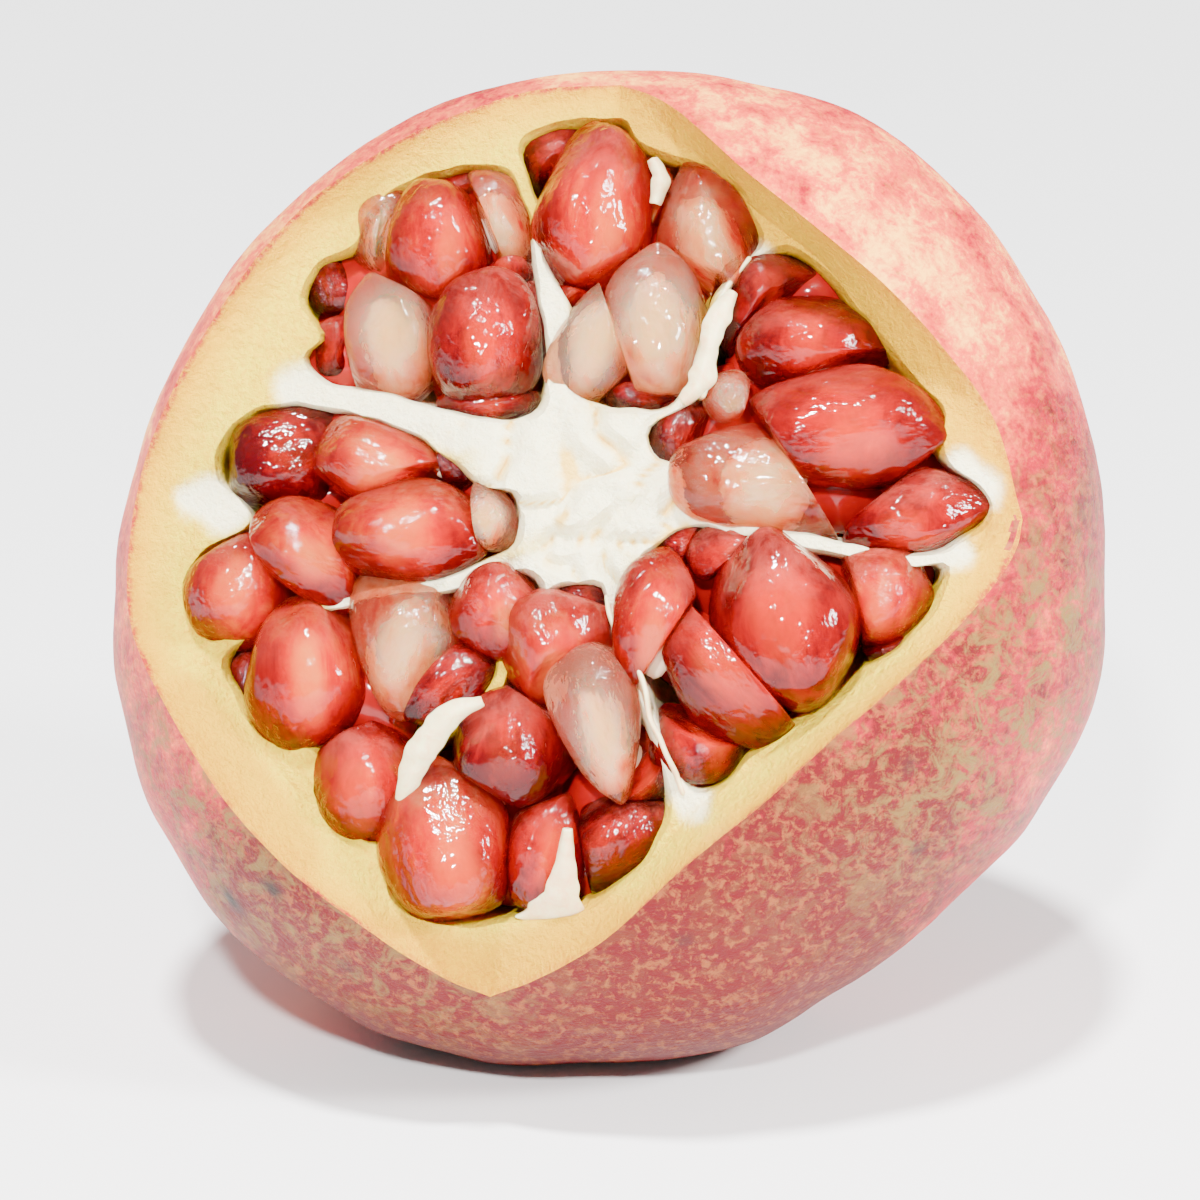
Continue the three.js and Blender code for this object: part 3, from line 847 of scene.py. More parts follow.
@dataclass
class Husk:
    """The husk: skin, rim, septa and pith core as one closed body, with its own sizes in mm."""

    # The rim's outer and inner edge, in pixels
    outer_left: tuple = (
        (620, 82), (521, 92), (416, 131), (310, 201), (233, 289), (179, 377), (141, 470), (126, 559),
        (133, 640), (177, 728), (230, 809), (289, 872), (367, 931), (444, 981), (490, 1000),
    )
    outer_bottom_right: tuple = (
        (490, 1000), (538, 980), (607, 940), (681, 872), (758, 809), (828, 745), (902, 682), (968, 619),
        (1014, 556), (1025, 520),
    )
    outer_top_right: tuple = (
        (1025, 520), (996, 418), (944, 348), (881, 281), (810, 222), (740, 166), (670, 105), (620, 82),
    )
    inner_left: tuple = (
        (620, 118), (520, 142), (430, 168), (355, 212), (300, 275), (262, 340), (240, 390), (212, 445),
        (205, 505), (185, 570), (192, 630), (228, 692), (262, 748), (305, 800), (375, 858), (440, 912),
        (500, 930),
    )
    inner_bottom_right: tuple = (
        (500, 930), (575, 912), (645, 868), (700, 805), (760, 760), (815, 712), (870, 670), (915, 628),
        (955, 575), (992, 520),
    )
    inner_top_right: tuple = (
        (992, 520), (978, 475), (940, 415), (885, 342), (825, 266), (757, 212), (702, 160), (655, 132),
        (620, 118),
    )
    arc_steps: tuple = (186, 111, 105)
    # The cut rim, and how far the lid over it reaches
    rim_rows: int = 13
    rim_sag: float = 0.35
    rim_grain: tuple = (Relief(0.16, 2.2), Relief(0.2, 1.15, 40.0))
    reach: float = 12.0
    top: float = 80.0
    # The torn face and the folds of its core
    face_rows: int = 44
    face_grain: Relief = Relief(0.14, 1.2, 5.0)
    lip_start: float = 0.85
    core_pixel: Pixel = (575, 485)
    core_radius: float = 12.0
    core_height: float = 1.5
    core_drop: float = 0.6
    fold_size: float = 4.2
    fold_offset: float = 3.0
    fold_width: float = 0.35
    fold_grain: Relief = Relief(0.3, 1.8, 9.0)
    # The chambers: heights over the face, each with how far the wall flares there
    chamber_levels: tuple = (
        (9.0, 0.8), (2.0, 0.8), (0.6, 0.62), (-0.4, 0.2), (-1.4, 0.0), (-4.0, -0.1), (-8.0, -0.5),
        (-11.0, -1.4), (-13.0, -3.2),
    )
    chamber_steps: int = 110
    chamber_bulge: float = 0.4
    chamber_top: float = 1.0
    wall_wander: Relief = Relief(0.35, 2.6, 17.0)
    # The skin's form
    dents: tuple = (Relief(0.22, 9.0), Relief(0.05, 2.0))
    dents_drop: float = 0.1
    skin_fineness: int = 7
    smooth_deg: float = 32.0
    # What counts as cut flesh, and what its material and the skin's read
    cut_facing: float = 0.8
    cut_depth: float = 0.6
    colour_depth: float = 8.0
    pith_wander: float = 0.8
    pith_wander_size: float = 2.4
    pith_wander_offsets: tuple = (21.0, 57.0)
    line_fade: tuple = (0.55, 1.25)
    crease_shade_width: tuple = (0.02, 0.1)
    crease_shade_share: float = 0.8
    warm_share: float = 0.7
    base_blush: float = 0.35
    # Lines of white pith, warmer rind and painted shade in the core's folds, each a half width and its pixels
    pith_lines: tuple = (
        (8.0, ((545, 470), (600, 480), (640, 480))), (5.0, ((585, 560), (585, 510))),
        (2.6, ((300, 388), (360, 400), (440, 420), (520, 440))), (2.4, ((532, 262), (556, 330), (566, 400))),
        (2.2, ((200, 500), (232, 512))), (2.0, ((590, 570), (520, 572), (440, 590), (350, 602))),
        (2.2, ((650, 420), (700, 400), (730, 330), (752, 262))),
        (2.0, ((640, 540), (700, 524), (800, 538), (950, 552))),
        (1.8, ((610, 590), (628, 650), (660, 740), (690, 800))), (1.8, ((960, 470), (985, 490))),
    )
    warm_lines: tuple = (
        (4.0, ((660, 120), (800, 235), (930, 380), (1005, 500))), (3.4, ((400, 950), (490, 985), (600, 925))),
        (2.4, ((190, 700), (300, 850))),
    )
    crease_shade_lines: tuple = ((9.0, ((560, 440), (620, 500))),)
    # Patches of the skin; the crimson blushes low on the fruit are partly the skin's own flush and partly
    # painted shade
    blushes_and_under_shade: tuple = (
        SkinSpot((840, 850), 24.0, 0.52), SkinSpot((1075, 520), 15.0, 0.42),
        SkinSpot((620, 1040), 24.0, 0.85), SkinSpot((440, 1020), 17.0, 0.66),
        SkinSpot((270, 940), 14.0, 0.45), SkinSpot((150, 780), 10.0, 0.2),
        SkinSpot((720, 500), 45.0, 0.25, True),
    )
    russets: tuple = (
        SkinSpot((950, 760), 18.0, 0.9), SkinSpot((1080, 640), 14.0, 0.8), SkinSpot((200, 800), 20.0, 0.9),
        SkinSpot((420, 980), 14.0, 0.5), SkinSpot((500, 700), 26.0, 0.5, True),
    )
    scars: tuple = (
        SkinSpot((233, 905), 1.3, 0.95), SkinSpot((226, 896), 0.8, 0.8), SkinSpot((268, 885), 1.1, 0.8),
        SkinSpot((276, 894), 0.8, 0.7), SkinSpot((345, 968), 0.8, 0.6), SkinSpot((685, 942), 0.8, 0.6),
        SkinSpot((920, 850), 0.9, 0.7), SkinSpot((910, 765), 0.8, 0.6),
    )

    def ring(self, arcs: tuple) -> np.ndarray:
        """Return the pixels around the opening along three arcs, evenly spaced on each."""
        stretches = [
            smooth_line(np.array(arc, dtype=float), steps, False)
            for arc, steps in zip(arcs, self.arc_steps)
        ]
        return np.vstack(stretches)

    def rim_rings(self) -> tuple[np.ndarray, np.ndarray]:
        """Return the rim's outer and inner edge in the face frame."""
        outer = self.ring((self.outer_left, self.outer_bottom_right, self.outer_top_right))
        inner = self.ring((self.inner_left, self.inner_bottom_right, self.inner_top_right))
        outer = np.array([pixel_on_skin(tuple(pixel)) for pixel in outer])
        inner = np.array([pixel_on_face(tuple(pixel), RIM_LIP) for pixel in inner])
        return outer, inner

    def lid(self) -> Piece:
        """Build what was cut off over the opening. Its underside is the rim and the torn face."""
        outer, inner = self.rim_rings()
        outward = outer * np.array((1.0, 1.0, 0.0))
        outward /= np.linalg.norm(outward, axis=1)[:, None]
        beyond = outer + outward * self.reach
        above = beyond.copy()
        above[:, 2] = self.top
        rows = [np.zeros_like(outer) + np.array((0.0, 0.0, self.top)), above, beyond]
        for step in range(self.rim_rows + 1):
            share = step / self.rim_rows
            row = outer + (inner - outer) * share
            middle_share = math.sin(math.pi * share)
            grain = sum(relief.at(row) for relief in self.rim_grain)
            row[:, 2] += (grain - self.rim_sag) * middle_share
            rows.append(row)
        middle = pixel_on_face(self.core_pixel)
        for step in range(1, self.face_rows):
            share = 1.0 - step / self.face_rows
            row = middle + (inner - middle) * share
            lip = RIM_LIP * smoothstep(np.array([share]), self.lip_start, 1.0)
            row[:, 2] = face_height(row[:, 0], row[:, 1]) + lip
            off_core = np.linalg.norm(row[:, :2] - middle[:2], axis=1)
            torn = np.exp(-((off_core / self.core_radius) ** 2))
            folds = smoothstep(self.fold_places(row), 0.0, self.fold_width) + self.fold_grain.at(row)
            row[:, 2] += torn * (self.core_height * folds - self.core_drop) + self.face_grain.at(row)
            rows.append(row)
        centre = middle.copy()
        centre[2] = rows[-1][:, 2].mean()
        rows.append(np.zeros_like(outer) + centre)
        return new_sheet("lid", rows, True)

    def fold_places(self, points: np.ndarray) -> np.ndarray:
        """Return how far points of the core lie from the middle of its folds, from 0 to about 1."""
        return np.abs(noise_at(points, self.fold_size, self.fold_offset))

    def hollow(self, outline: tuple, number: int) -> Piece:
        """Build the hollow of one chamber, flared a little where its wall meets the face.

        Args:
            outline: The chamber's outline at the face, in pixels.
            number: The chamber's number, which sets how its wall wanders.

        Returns:
            The closed cutter.
        """
        edge = np.array([pixel_on_face(pixel) for pixel in outline])
        edge = smooth_line(edge, self.chamber_steps, True)
        middle = edge.mean(axis=0)
        outward = edge - middle
        outward[:, 2] = 0.0
        outward /= np.linalg.norm(outward, axis=1)[:, None]
        wander = Relief(self.wall_wander.height, self.wall_wander.size, self.wall_wander.offset * number)
        rows = []
        for level, flare in self.chamber_levels:
            row = edge + outward * flare
            row += outward * wander.at(row)[:, None]
            row[:, 2] = face_height(row[:, 0], row[:, 1]) + level
            rows.append(row)
        lowest = middle.copy()
        lowest[2] = rows[-1][:, 2].mean() - self.chamber_bulge
        highest = middle.copy()
        highest[2] = rows[0][:, 2].mean() + self.chamber_top
        rows = [np.zeros_like(edge) + highest, *rows, np.zeros_like(edge) + lowest]
        return new_sheet("hollow", rows, True)

    def build(self, outlines: list[tuple]) -> Piece:
        """Build the husk with its rim, face and chambers.

        Args:
            outlines: The chambers' outlines, in pixels.

        Returns:
            The finished husk.
        """
        husk = new_ball("husk_fine", self.skin_fineness)
        directions = read_places(husk)
        directions /= np.linalg.norm(directions, axis=1)[:, None]
        skin = directions * skin_distance(directions)[:, None]
        dents = sum(relief.at(skin) for relief in self.dents)
        skin += directions * (dents - self.dents_drop)[:, None]
        world = to_world(skin)
        world[:, 2] = np.maximum(world[:, 2], 0.0)
        write_places(husk, world)
        cut_away(husk, self.lid())
        for number, outline in enumerate(outlines):
            cut_away(husk, self.hollow(outline, number))
        self.dress(husk)
        return husk

    def near_lines(self, points: np.ndarray, lines: tuple) -> np.ndarray:
        """Return how much of each point of the face lies near drawn lines, from 0 to 1.

        Args:
            points: Points in the face frame, in mm.
            lines: Each a half width in mm and its pixels.

        Returns:
            The share for each point.
        """
        share = np.zeros(len(points))
        for width, pixels in lines:
            stops = np.array([pixel_on_face(pixel) for pixel in pixels])[:, :2]
            for first, second in zip(stops, stops[1:]):
                along = second - first
                place = np.clip(((points[:, :2] - first) @ along) / (along @ along), 0.0, 1.0)
                off = np.linalg.norm(points[:, :2] - first - place[:, None] * along, axis=1)
                full, none = (width * factor for factor in self.line_fade)
                share = np.maximum(share, 1.0 - smoothstep(off, full, none))
        return share

    def pith_share(self, points: np.ndarray) -> np.ndarray:
        """Return 1 on the core and the septa, where the flesh is white pith, and 0 on the rim."""
        x, y = (noise_at(points, self.pith_wander_size, offset) for offset in self.pith_wander_offsets)
        moved = points + self.pith_wander * np.stack((x, y, x), axis=1)
        return self.near_lines(moved, self.pith_lines)

    def is_cut(self, husk: Piece) -> np.ndarray:
        """Return for each face whether it is cut flesh: it lies deep, or doesn't face outwards."""
        count = len(husk.data.polygons)
        middles, normals = np.empty(count * 3), np.empty(count * 3)
        husk.data.polygons.foreach_get("center", middles)
        husk.data.polygons.foreach_get("normal", normals)
        middles = to_face(middles.reshape(-1, 3))
        outward = middles / np.linalg.norm(middles, axis=1)[:, None]
        facing = np.sum((normals.reshape(-1, 3) @ REST_TURN) * outward, axis=1)
        return (facing < self.cut_facing) | (depth_under_skin(middles) > self.cut_depth)

    def dress(self, husk: Piece) -> None:
        """Give the skin and the cut flesh their materials and the values that those read."""
        points = to_face(read_places(husk))
        depth = depth_under_skin(points)
        write_values(husk, "depth", np.clip(depth / self.colour_depth, 0.0, 1.0))
        write_values(husk, "pith", self.pith_share(points))
        write_values(husk, "fruit", points)
        write_values(husk, "warm", self.warm_share * self.near_lines(points, self.warm_lines))
        # Painted shade in the valleys of the core's folds
        crease_shade = 1.0 - smoothstep(self.fold_places(points), *self.crease_shade_width)
        crease_shade *= self.near_lines(points, self.crease_shade_lines)
        write_values(husk, "grain_and_crease_shade", self.crease_shade_share * crease_shade)
        # The skin's own flush, with painted shade low on the fruit
        write_values(husk, "blush_and_shade", self.base_blush + sum(spot.cover(points) for spot in self.blushes_and_under_shade))
        for name, spots in (("russet", self.russets), ("scar", self.scars)):
            write_values(husk, name, np.clip(sum(spot.cover(points) for spot in spots), 0.0, 1.0))
        husk.data.materials.clear()
        for finish in (SkinFinish(), RindFinish()):
            husk.data.materials.append(finish.material())
        husk.data.polygons.foreach_set("material_index", self.is_cut(husk).astype(np.int32))
        shade_smooth(husk, self.smooth_deg)


# An aril's depth as a share of its smaller half size, and a seed's sizes as shares of its aril's
ARIL_DEPTH = 1.1
SEED_SIZES = (0.44, 0.68, 0.46)
SEED_TAPER = 0.25
SEED_SINK = 0.15
SEED_SINK_SHARES = (0.2, 1.0)

# How far the noise of different arils is moved apart
LUMP_SHIFT = 90.0
GLOW_SHIFT = 50.0
NOISE_SHIFT = 40.0


@dataclass
class Aril:
    """One aril: its place and size in pixels, tilt, top over the face in mm, tone and taper."""

    pixel: Pixel
    width: float
    length: float
    tilt_deg: float
    top: float
    tone: Tone
    taper: float = 0.12

    def half_sizes(self) -> np.ndarray:
        """Return half its width, length and depth in mm."""
        half_width = self.width / 2.0 / PX_PER_MM
        half_length = self.length / 2.0 / PX_PER_MM
        return np.array((half_width, half_length, min(half_width, half_length) * ARIL_DEPTH))

    def turn(self) -> np.ndarray:
        """Return the turn from its own frame to the face frame."""
        return np.array(Matrix.Rotation(math.radians(self.tilt_deg), 3, "Z"))

    def centre(self) -> np.ndarray:
        """Return its middle in the face frame, in mm."""
        return pixel_on_face(self.pixel, self.top - self.half_sizes()[2])

    def reach(self, direction: np.ndarray) -> float:
        """Return how far it reaches from its middle along a direction, in mm."""
        return float(np.linalg.norm(self.half_sizes() * (self.turn().T @ direction)))


@dataclass(frozen=True)
class SeedGlow:
    """How much the pale seed shows through the flesh of a unit aril, with painted light in the middle of the
    riper ones: a soft spot near its middle.
    """

    side_shift: float = 0.2
    shifts: tuple = (-0.3, 0.1)
    half_widths: tuple = (0.36, 0.5)
    half_lengths: tuple = (0.55, 0.75)
    wander: float = 0.35
    wander_size: float = 0.45
    fade: tuple = (0.35, 1.1)
    clear_show: float = 0.9
    ripe_loss: float = 0.8
    strengths: tuple = (0.55, 1.1)

    def at(self, unit: np.ndarray, tone: Tone, rng: random.Random) -> np.ndarray:
        """Return how much the seed shows at points of a unit aril of a tone."""
        across = (unit[:, 0] - both_ways(rng, self.side_shift)) / rng.uniform(*self.half_widths)
        along = (unit[:, 1] - rng.uniform(*self.shifts)) / rng.uniform(*self.half_lengths)
        wander = self.wander * noise_at(unit, self.wander_size, rng.uniform(0.0, GLOW_SHIFT))
        show = (self.clear_show - self.ripe_loss * tone.value) * rng.uniform(*self.strengths)
        return show * (1.0 - smoothstep(np.hypot(across, along) + wander, *self.fade))


@dataclass
class Bunch:
    """The arils of one chamber, with their seeds, and the darker ones packed below them."""

    node: str
    outline: tuple
    arils: tuple
    draw_seed: int
    # Form of an aril: flat spots all round, then a few lumps
    facets: int = 11
    facet_sharpness: float = 9.0
    facet_depths: tuple = (0.74, 0.95)
    facet_rise: float = 0.1
    facet_turn: float = 0.3
    facet_highest: float = 0.98
    lump_size: float = 0.55
    lump_height: float = 0.022
    fullness: float = 1.12
    fineness: int = 5
    # How arils that meet press each other flat
    softness: float = 0.25
    nearer_keeps: float = 0.22
    least_keep: float = 0.06
    least_reach: float = 0.5
    # What an aril's material reads: its tone, paler towards the top as painted light, painted shade at its
    # edge, a painted sheen on its top, and its front side
    tone_change: float = 0.05
    painted_light_fall: tuple = (0.06, 0.26)
    tone_tilt: float = 0.12
    edge_shade_start: float = 0.42
    edge_shade_strengths: tuple = (0.7, 0.95)
    painted_sheen_rise: tuple = (-0.1, 0.9)
    painted_sheen_strengths: tuple = (0.2, 0.6)
    front: tuple = (0.05, 0.5)
    # The seed inside, and how much of it shows, with painted light in the middle of the riper arils
    seeded_width: float = 50.0
    seed_fineness: int = 3
    glow: SeedGlow = SeedGlow()
    # The darker arils packed below
    deep_fineness: int = 3
    deep_spacing: float = 6.4
    deep_shift: float = 0.8
    deep_row: float = 0.87
    deep_drop: float = 4.2
    deep_rise: float = 2.2
    deep_widths: tuple = (78.0, 92.0)
    deep_length: float = 1.25
    deep_gap: float = 1.8
    outline_steps: int = 60

    def shape(self, directions: np.ndarray, taper: float, rng: random.Random) -> np.ndarray:
        """Return a unit aril: a ball pressed flat all round by its neighbours, narrower at one end.

        Args:
            directions: Unit vectors, one a row.
            taper: How much narrower the end is.
            rng: The bunch's own random numbers.

        Returns:
            Points of the aril's surface, one a row.
        """
        press = np.ones(len(directions))
        start = rng.uniform(0.0, 2.0 * math.pi)
        for number in range(self.facets):
            height = 1.0 - (2.0 * number + 1.0) / self.facets + both_ways(rng, self.facet_rise)
            height = min(max(height, -self.facet_highest), self.facet_highest)
            around = start + number * GOLDEN_ANGLE + both_ways(rng, self.facet_turn)
            across = math.sqrt(1.0 - height * height)
            normal = np.array((across * math.cos(around), height, across * math.sin(around)))
            flat = rng.uniform(*self.facet_depths)
            press += np.maximum(directions @ normal / flat, 0.0) ** self.facet_sharpness
        points = directions * (press ** (-1.0 / self.facet_sharpness))[:, None]
        points /= np.abs(points).max(axis=0)
        lumps = noise_at(points, self.lump_size, rng.uniform(0.0, LUMP_SHIFT))
        points *= self.fullness * (1.0 + self.lump_height * lumps)[:, None]
        narrowing = 1.0 - taper * points[:, 1]
        return points * np.stack((narrowing, np.ones_like(narrowing), narrowing), axis=1)

    def press_apart(self, points: np.ndarray, aril: Aril, others: list[Aril]) -> np.ndarray:
        """Flatten an aril where it meets its neighbours; the one nearer the eye gives way less.

        Args:
            points: Points of its surface in the face frame.
            aril: The aril itself.
            others: The arils around it.

        Returns:
            The moved points.
        """
        middle = aril.centre()
        for other in others:
            between = other.centre() - middle
            apart = float(np.linalg.norm(between))
            direction = between / apart
            overlap = aril.reach(direction) + other.reach(direction) - apart
            if overlap <= 0.0:
                continue
            keep = 0.5 + self.nearer_keeps * (aril.top - other.top)
            keep = min(max(keep, self.least_keep), 1.0 - self.least_keep)
            limit = max(aril.reach(direction) - overlap * (1.0 - keep), self.least_reach)
            off = (points - middle) @ direction
            pressed = -self.softness * np.logaddexp(-off / self.softness, -limit / self.softness)
            points = points + direction * np.where(off > 0.0, pressed - off, 0.0)[:, None]
        return points

    def build_aril(self, aril: Aril, others: list[Aril], rng: random.Random, fineness: int) -> Piece:
        """Build one aril with the values that its material reads."""
        ball = new_ball("aril", fineness)
        directions = read_places(ball)
        directions /= np.linalg.norm(directions, axis=1)[:, None]
        unit = self.shape(directions, aril.taper, rng)
        points = (unit * aril.half_sizes()) @ aril.turn().T + aril.centre()
        points = self.press_apart(points, aril, others)
        write_places(ball, to_world(points))
        up = (points[:, 1] - aril.centre()[1]) / aril.reach(np.array((0.0, 1.0, 0.0)))
        # Painted light: paler towards the top that faces the light, redder below
        tone = aril.tone.value + both_ways(rng, self.tone_change) - rng.uniform(*self.painted_light_fall) * up
        for axis in (1, 0):
            tone = tone + both_ways(rng, self.tone_tilt) * unit[:, axis]
        write_values(ball, "tone", tone)
        # Painted shade towards the outline
        edge = smoothstep(np.hypot(unit[:, 0], unit[:, 1]), self.edge_shade_start, 1.0)
        write_values(ball, "edge", rng.uniform(*self.edge_shade_strengths) * edge)
        front = smoothstep(unit[:, 2], *self.front)
        # Painted sheen on the top front side
        painted_sheen = smoothstep(up, *self.painted_sheen_rise) * front
        write_values(ball, "painted_sheen", rng.uniform(*self.painted_sheen_strengths) * painted_sheen)
        # The seed seen through the flesh, with painted light in the middle of the riper arils
        write_values(ball, "glow", self.glow.at(unit, aril.tone, rng) * front)
        write_values(ball, "local", unit + rng.uniform(0.0, NOISE_SHIFT))
        return ball

    def build_seed(self, aril: Aril, rng: random.Random) -> Piece:
        """Build the pale seed inside an aril."""
        ball = new_ball("seed", self.seed_fineness)
        points = read_places(ball)
        points = points * (1.0 - SEED_TAPER * points[:, 1])[:, None]
        half = aril.half_sizes() * np.array(SEED_SIZES)
        points = (points * half) @ aril.turn().T + aril.centre()
        points[:, 2] -= SEED_SINK * aril.half_sizes()[2] * rng.uniform(*SEED_SINK_SHARES)
        write_places(ball, to_world(points))
        return ball

    def deep_arils(self, rng: random.Random) -> list[Aril]:
        """Return the darker arils packed below the ones that show, on a loose grid."""
        edge = np.array([pixel_on_face(pixel) for pixel in self.outline])
        edge = smooth_line(edge, self.outline_steps, True)
        low, high = edge.min(axis=0), edge.max(axis=0)
        found = []
        row = 0
        y = low[1]
        while y < high[1]:
            x = low[0] + (row % 2) * self.deep_spacing / 2.0
            while x < high[0]:
                shift = np.array([both_ways(rng, self.deep_shift) for _ in range(2)])
                place = np.array((x, y)) + shift
                if self.inside(place, edge[:, :2]):
                    found.append(self.deep_aril(place, rng))
                x += self.deep_spacing
            y += self.deep_spacing * self.deep_row
            row += 1
        return found

    def deep_aril(self, place: np.ndarray, rng: random.Random) -> Aril:
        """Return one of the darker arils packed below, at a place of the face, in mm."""
        nearness = 1.0 - float(face_height(place[0], place[1])) / EYE_DISTANCE
        pixel = (
            FRUIT_CENTRE_PX[0] + place[0] / nearness * PX_PER_MM,
            FRUIT_CENTRE_PX[1] - place[1] / nearness * PX_PER_MM,
        )
        width = rng.uniform(*self.deep_widths)
        tilt = rng.uniform(0.0, 180.0)
        top = -self.deep_drop + rng.uniform(0.0, self.deep_rise)
        return Aril(pixel, width, width * self.deep_length, tilt, top, Tone.RUBY)

    def inside(self, place: np.ndarray, edge: np.ndarray) -> bool:
        """Return whether a place lies inside an outline, at least a little from its edge."""
        if np.linalg.norm(edge - place, axis=1).min() < self.deep_gap:
            return False
        crossings = 0
        for first, second in zip(edge, np.roll(edge, -1, axis=0)):
            if (first[1] > place[1]) != (second[1] > place[1]):
                share = (place[1] - first[1]) / (second[1] - first[1])
                crossings += place[0] < first[0] + share * (second[0] - first[0])
        return crossings % 2 == 1

    def build(self, flesh: Material, clear_flesh: Material, deep_flesh: Material,
              seed_flesh: Material) -> list[Piece]:
        """Build the bunch and its seeds.

        Args:
            flesh: The material of the red arils that show.
            clear_flesh: The material of the clear and peach ones.
            deep_flesh: The material of those packed below them.
            seed_flesh: The seeds' material.

        Returns:
            The bunch and its seeds, as two objects.
        """
        rng = random.Random(self.draw_seed)
        arils = [
            self.build_aril(aril, [other for other in self.arils if other is not aril], rng, self.fineness)
            for aril in self.arils
        ]
        deep = [self.build_aril(aril, [], rng, self.deep_fineness) for aril in self.deep_arils(rng)]
        for aril, piece in zip(self.arils, arils):
            piece.data.materials.append(clear_flesh if aril.tone in (Tone.CLEAR, Tone.PEACH) else flesh)
        for piece in deep:
            piece.data.materials.append(deep_flesh)
        seeds = [self.build_seed(aril, rng) for aril in self.arils if aril.width > self.seeded_width]
        bunch = join_pieces(self.node + "_fine", arils + deep)
        shade_smooth(bunch, SMOOTH_ALL_DEG)
        kernels = join_pieces(self.node.replace("arils", "seeds"), seeds)
        kernels.data.materials.append(seed_flesh)
        shade_smooth(kernels, SMOOTH_ALL_DEG)
        return [bunch, kernels]


def face_line(route: tuple, steps: int) -> tuple[np.ndarray, Callable[[tuple], np.ndarray]]:
    """Lay a smooth line over the cut face.

    Args:
        route: The pixels that it runs through.
        steps: How many steps it has for each of them.

    Returns:
        The line's points, and a function that spreads values at the pixels over those points.
    """
    feet = np.array([pixel_on_face(pixel) for pixel in route])
    line = np.vstack((smooth_line(feet, steps * len(route), False), feet[-1:]))
    places, stations = np.linspace(0.0, 1.0, len(line)), np.linspace(0.0, 1.0, len(route))
    return line, lambda values: np.interp(places, stations, values)


@dataclass
class Membrane:
    """A thin torn sheet that stands between two bunches, along pixels with its height at each."""

    name: str
    route: tuple
    heights: tuple
    root: float = 6.0
    thickness: float = 0.45
    rows: int = 10
    steps: int = 12
    torn: Relief = Relief(0.5, 1.3, 31.0)
    lean: Relief = Relief(0.7, 3.5, 11.0)
    lean_up: float = 0.6

    def build(self, flesh: Material) -> Piece:
        """Build the sheet with a wavy, torn edge."""
        line, spread = face_line(self.route, self.steps)
        tops = spread(self.heights) + self.torn.at(line)
        rows = []
        for step in range(self.rows + 1):
            share = step / self.rows
            row = line.copy()
            row[:, 2] += -self.root + (tops + self.root) * share
            lean = self.lean.at(row) * share
            row[:, 0] += lean
            row[:, 1] += lean * self.lean_up
            rows.append(row)
        sheet = new_sheet(self.name, rows, False)
        return finish_sheet(sheet, self.thickness, flesh)


@dataclass
class Flap:
    """A torn sheet that lies over the bunches: a ribbon along pixels, with its width and lift in mm."""

    name: str
    route: tuple
    widths: tuple
    lifts: tuple
    curl: float = 0.8
    thickness: float = 0.35
    across: int = 12
    steps: int = 14
    torn: tuple = (Relief(0.3, 1.1, 47.0), Relief(0.3, 1.1, 13.0))
    waves: Relief = Relief(0.25, 1.6, 71.0)

    def build(self, flesh: Material) -> Piece:
        """Build the ribbon with wavy, torn sides."""
        line, spread = face_line(self.route, self.steps)
        along = np.gradient(line, axis=0)
        side = np.stack((-along[:, 1], along[:, 0]), axis=1)
        side /= np.linalg.norm(side, axis=1)[:, None]
        width, lift = spread(self.widths), spread(self.lifts)
        rows = []
        for step in range(self.across + 1):
            share = 2.0 * step / self.across - 1.0
            ragged = 1.0 + self.torn[share > 0.0].at(line) * abs(share)
            row = line.copy()
            row[:, :2] += side * (width / 2.0 * share * ragged)[:, None]
            row[:, 2] += lift - self.curl * share * share + self.waves.at(row)
            rows.append(row)
        sheet = new_sheet(self.name, rows, False)
        return finish_sheet(sheet, self.thickness, flesh)


def finish_sheet(sheet: Piece, thickness: float, flesh: Material) -> Piece:
    """Give a sheet its thickness, soft edges and material.

    Args:
        sheet: The open sheet.
        thickness: Its thickness in mm.
        flesh: The membranes' material.

    Returns:
        The finished sheet.
    """
    thick = sheet.modifiers.new("thickness", "SOLIDIFY")
    thick.thickness = thickness * MM
    thick.offset = 0.0
    finish_modifier(sheet, thick)
    soften(sheet, 1)
    sheet.data.materials.append(flesh)
    shade_smooth(sheet, SMOOTH_ALL_DEG)
    return sheet


@dataclass
class StemScar:
    """The woody scar where the fruit hung from its stem, with its sizes in mm."""

    radius: float = 3.0
    height: float = 2.2
    sides: int = 28
    wall: float = 0.3
    sink: float = 0.35
    rough: tuple = (Relief(0.22, 1.1, 2.0), Relief(0.22, 1.1, 5.0), Relief(0.22, 1.1, 8.0))
    smooth_deg: float = 50.0

    def build(self) -> Piece:
        """Build the scar as a short ragged stub with a sunken middle."""
        direction = STEM_DIRECTION
        foot = direction * float(skin_distance(np.array(direction)[None, :])[0])
        bpy.ops.object.select_all(action="DESELECT")
        bpy.ops.mesh.primitive_cylinder_add(vertices=self.sides, radius=self.radius, depth=self.height * 2.0)
        scar = bpy.context.object
        scar.name = "stem_scar"
        bpy.ops.object.mode_set(mode="EDIT")
        bpy.ops.mesh.select_all(action="DESELECT")
        bpy.ops.object.mode_set(mode="OBJECT")
        for face in scar.data.polygons:
            face.select = face.normal.z > UPRIGHT
        bpy.ops.object.mode_set(mode="EDIT")
        bpy.ops.mesh.inset(thickness=self.radius * self.wall)
        sink = {"value": (0.0, 0.0, -self.height * self.sink)}
        bpy.ops.mesh.extrude_region_move(TRANSFORM_OT_translate=sink)
        bpy.ops.object.mode_set(mode="OBJECT")
        soften(scar, 2)
        points = read_places(scar)
        points += np.stack([relief.at(points) for relief in self.rough], axis=1)
        turn = np.array(Vector((0.0, 0.0, 1.0)).rotation_difference(direction).to_matrix())
        write_places(scar, to_world(points @ turn.T + np.array(foot)))
        scar.data.materials.append(WoodFinish().material())
        shade_smooth(scar, self.smooth_deg)
        return scar


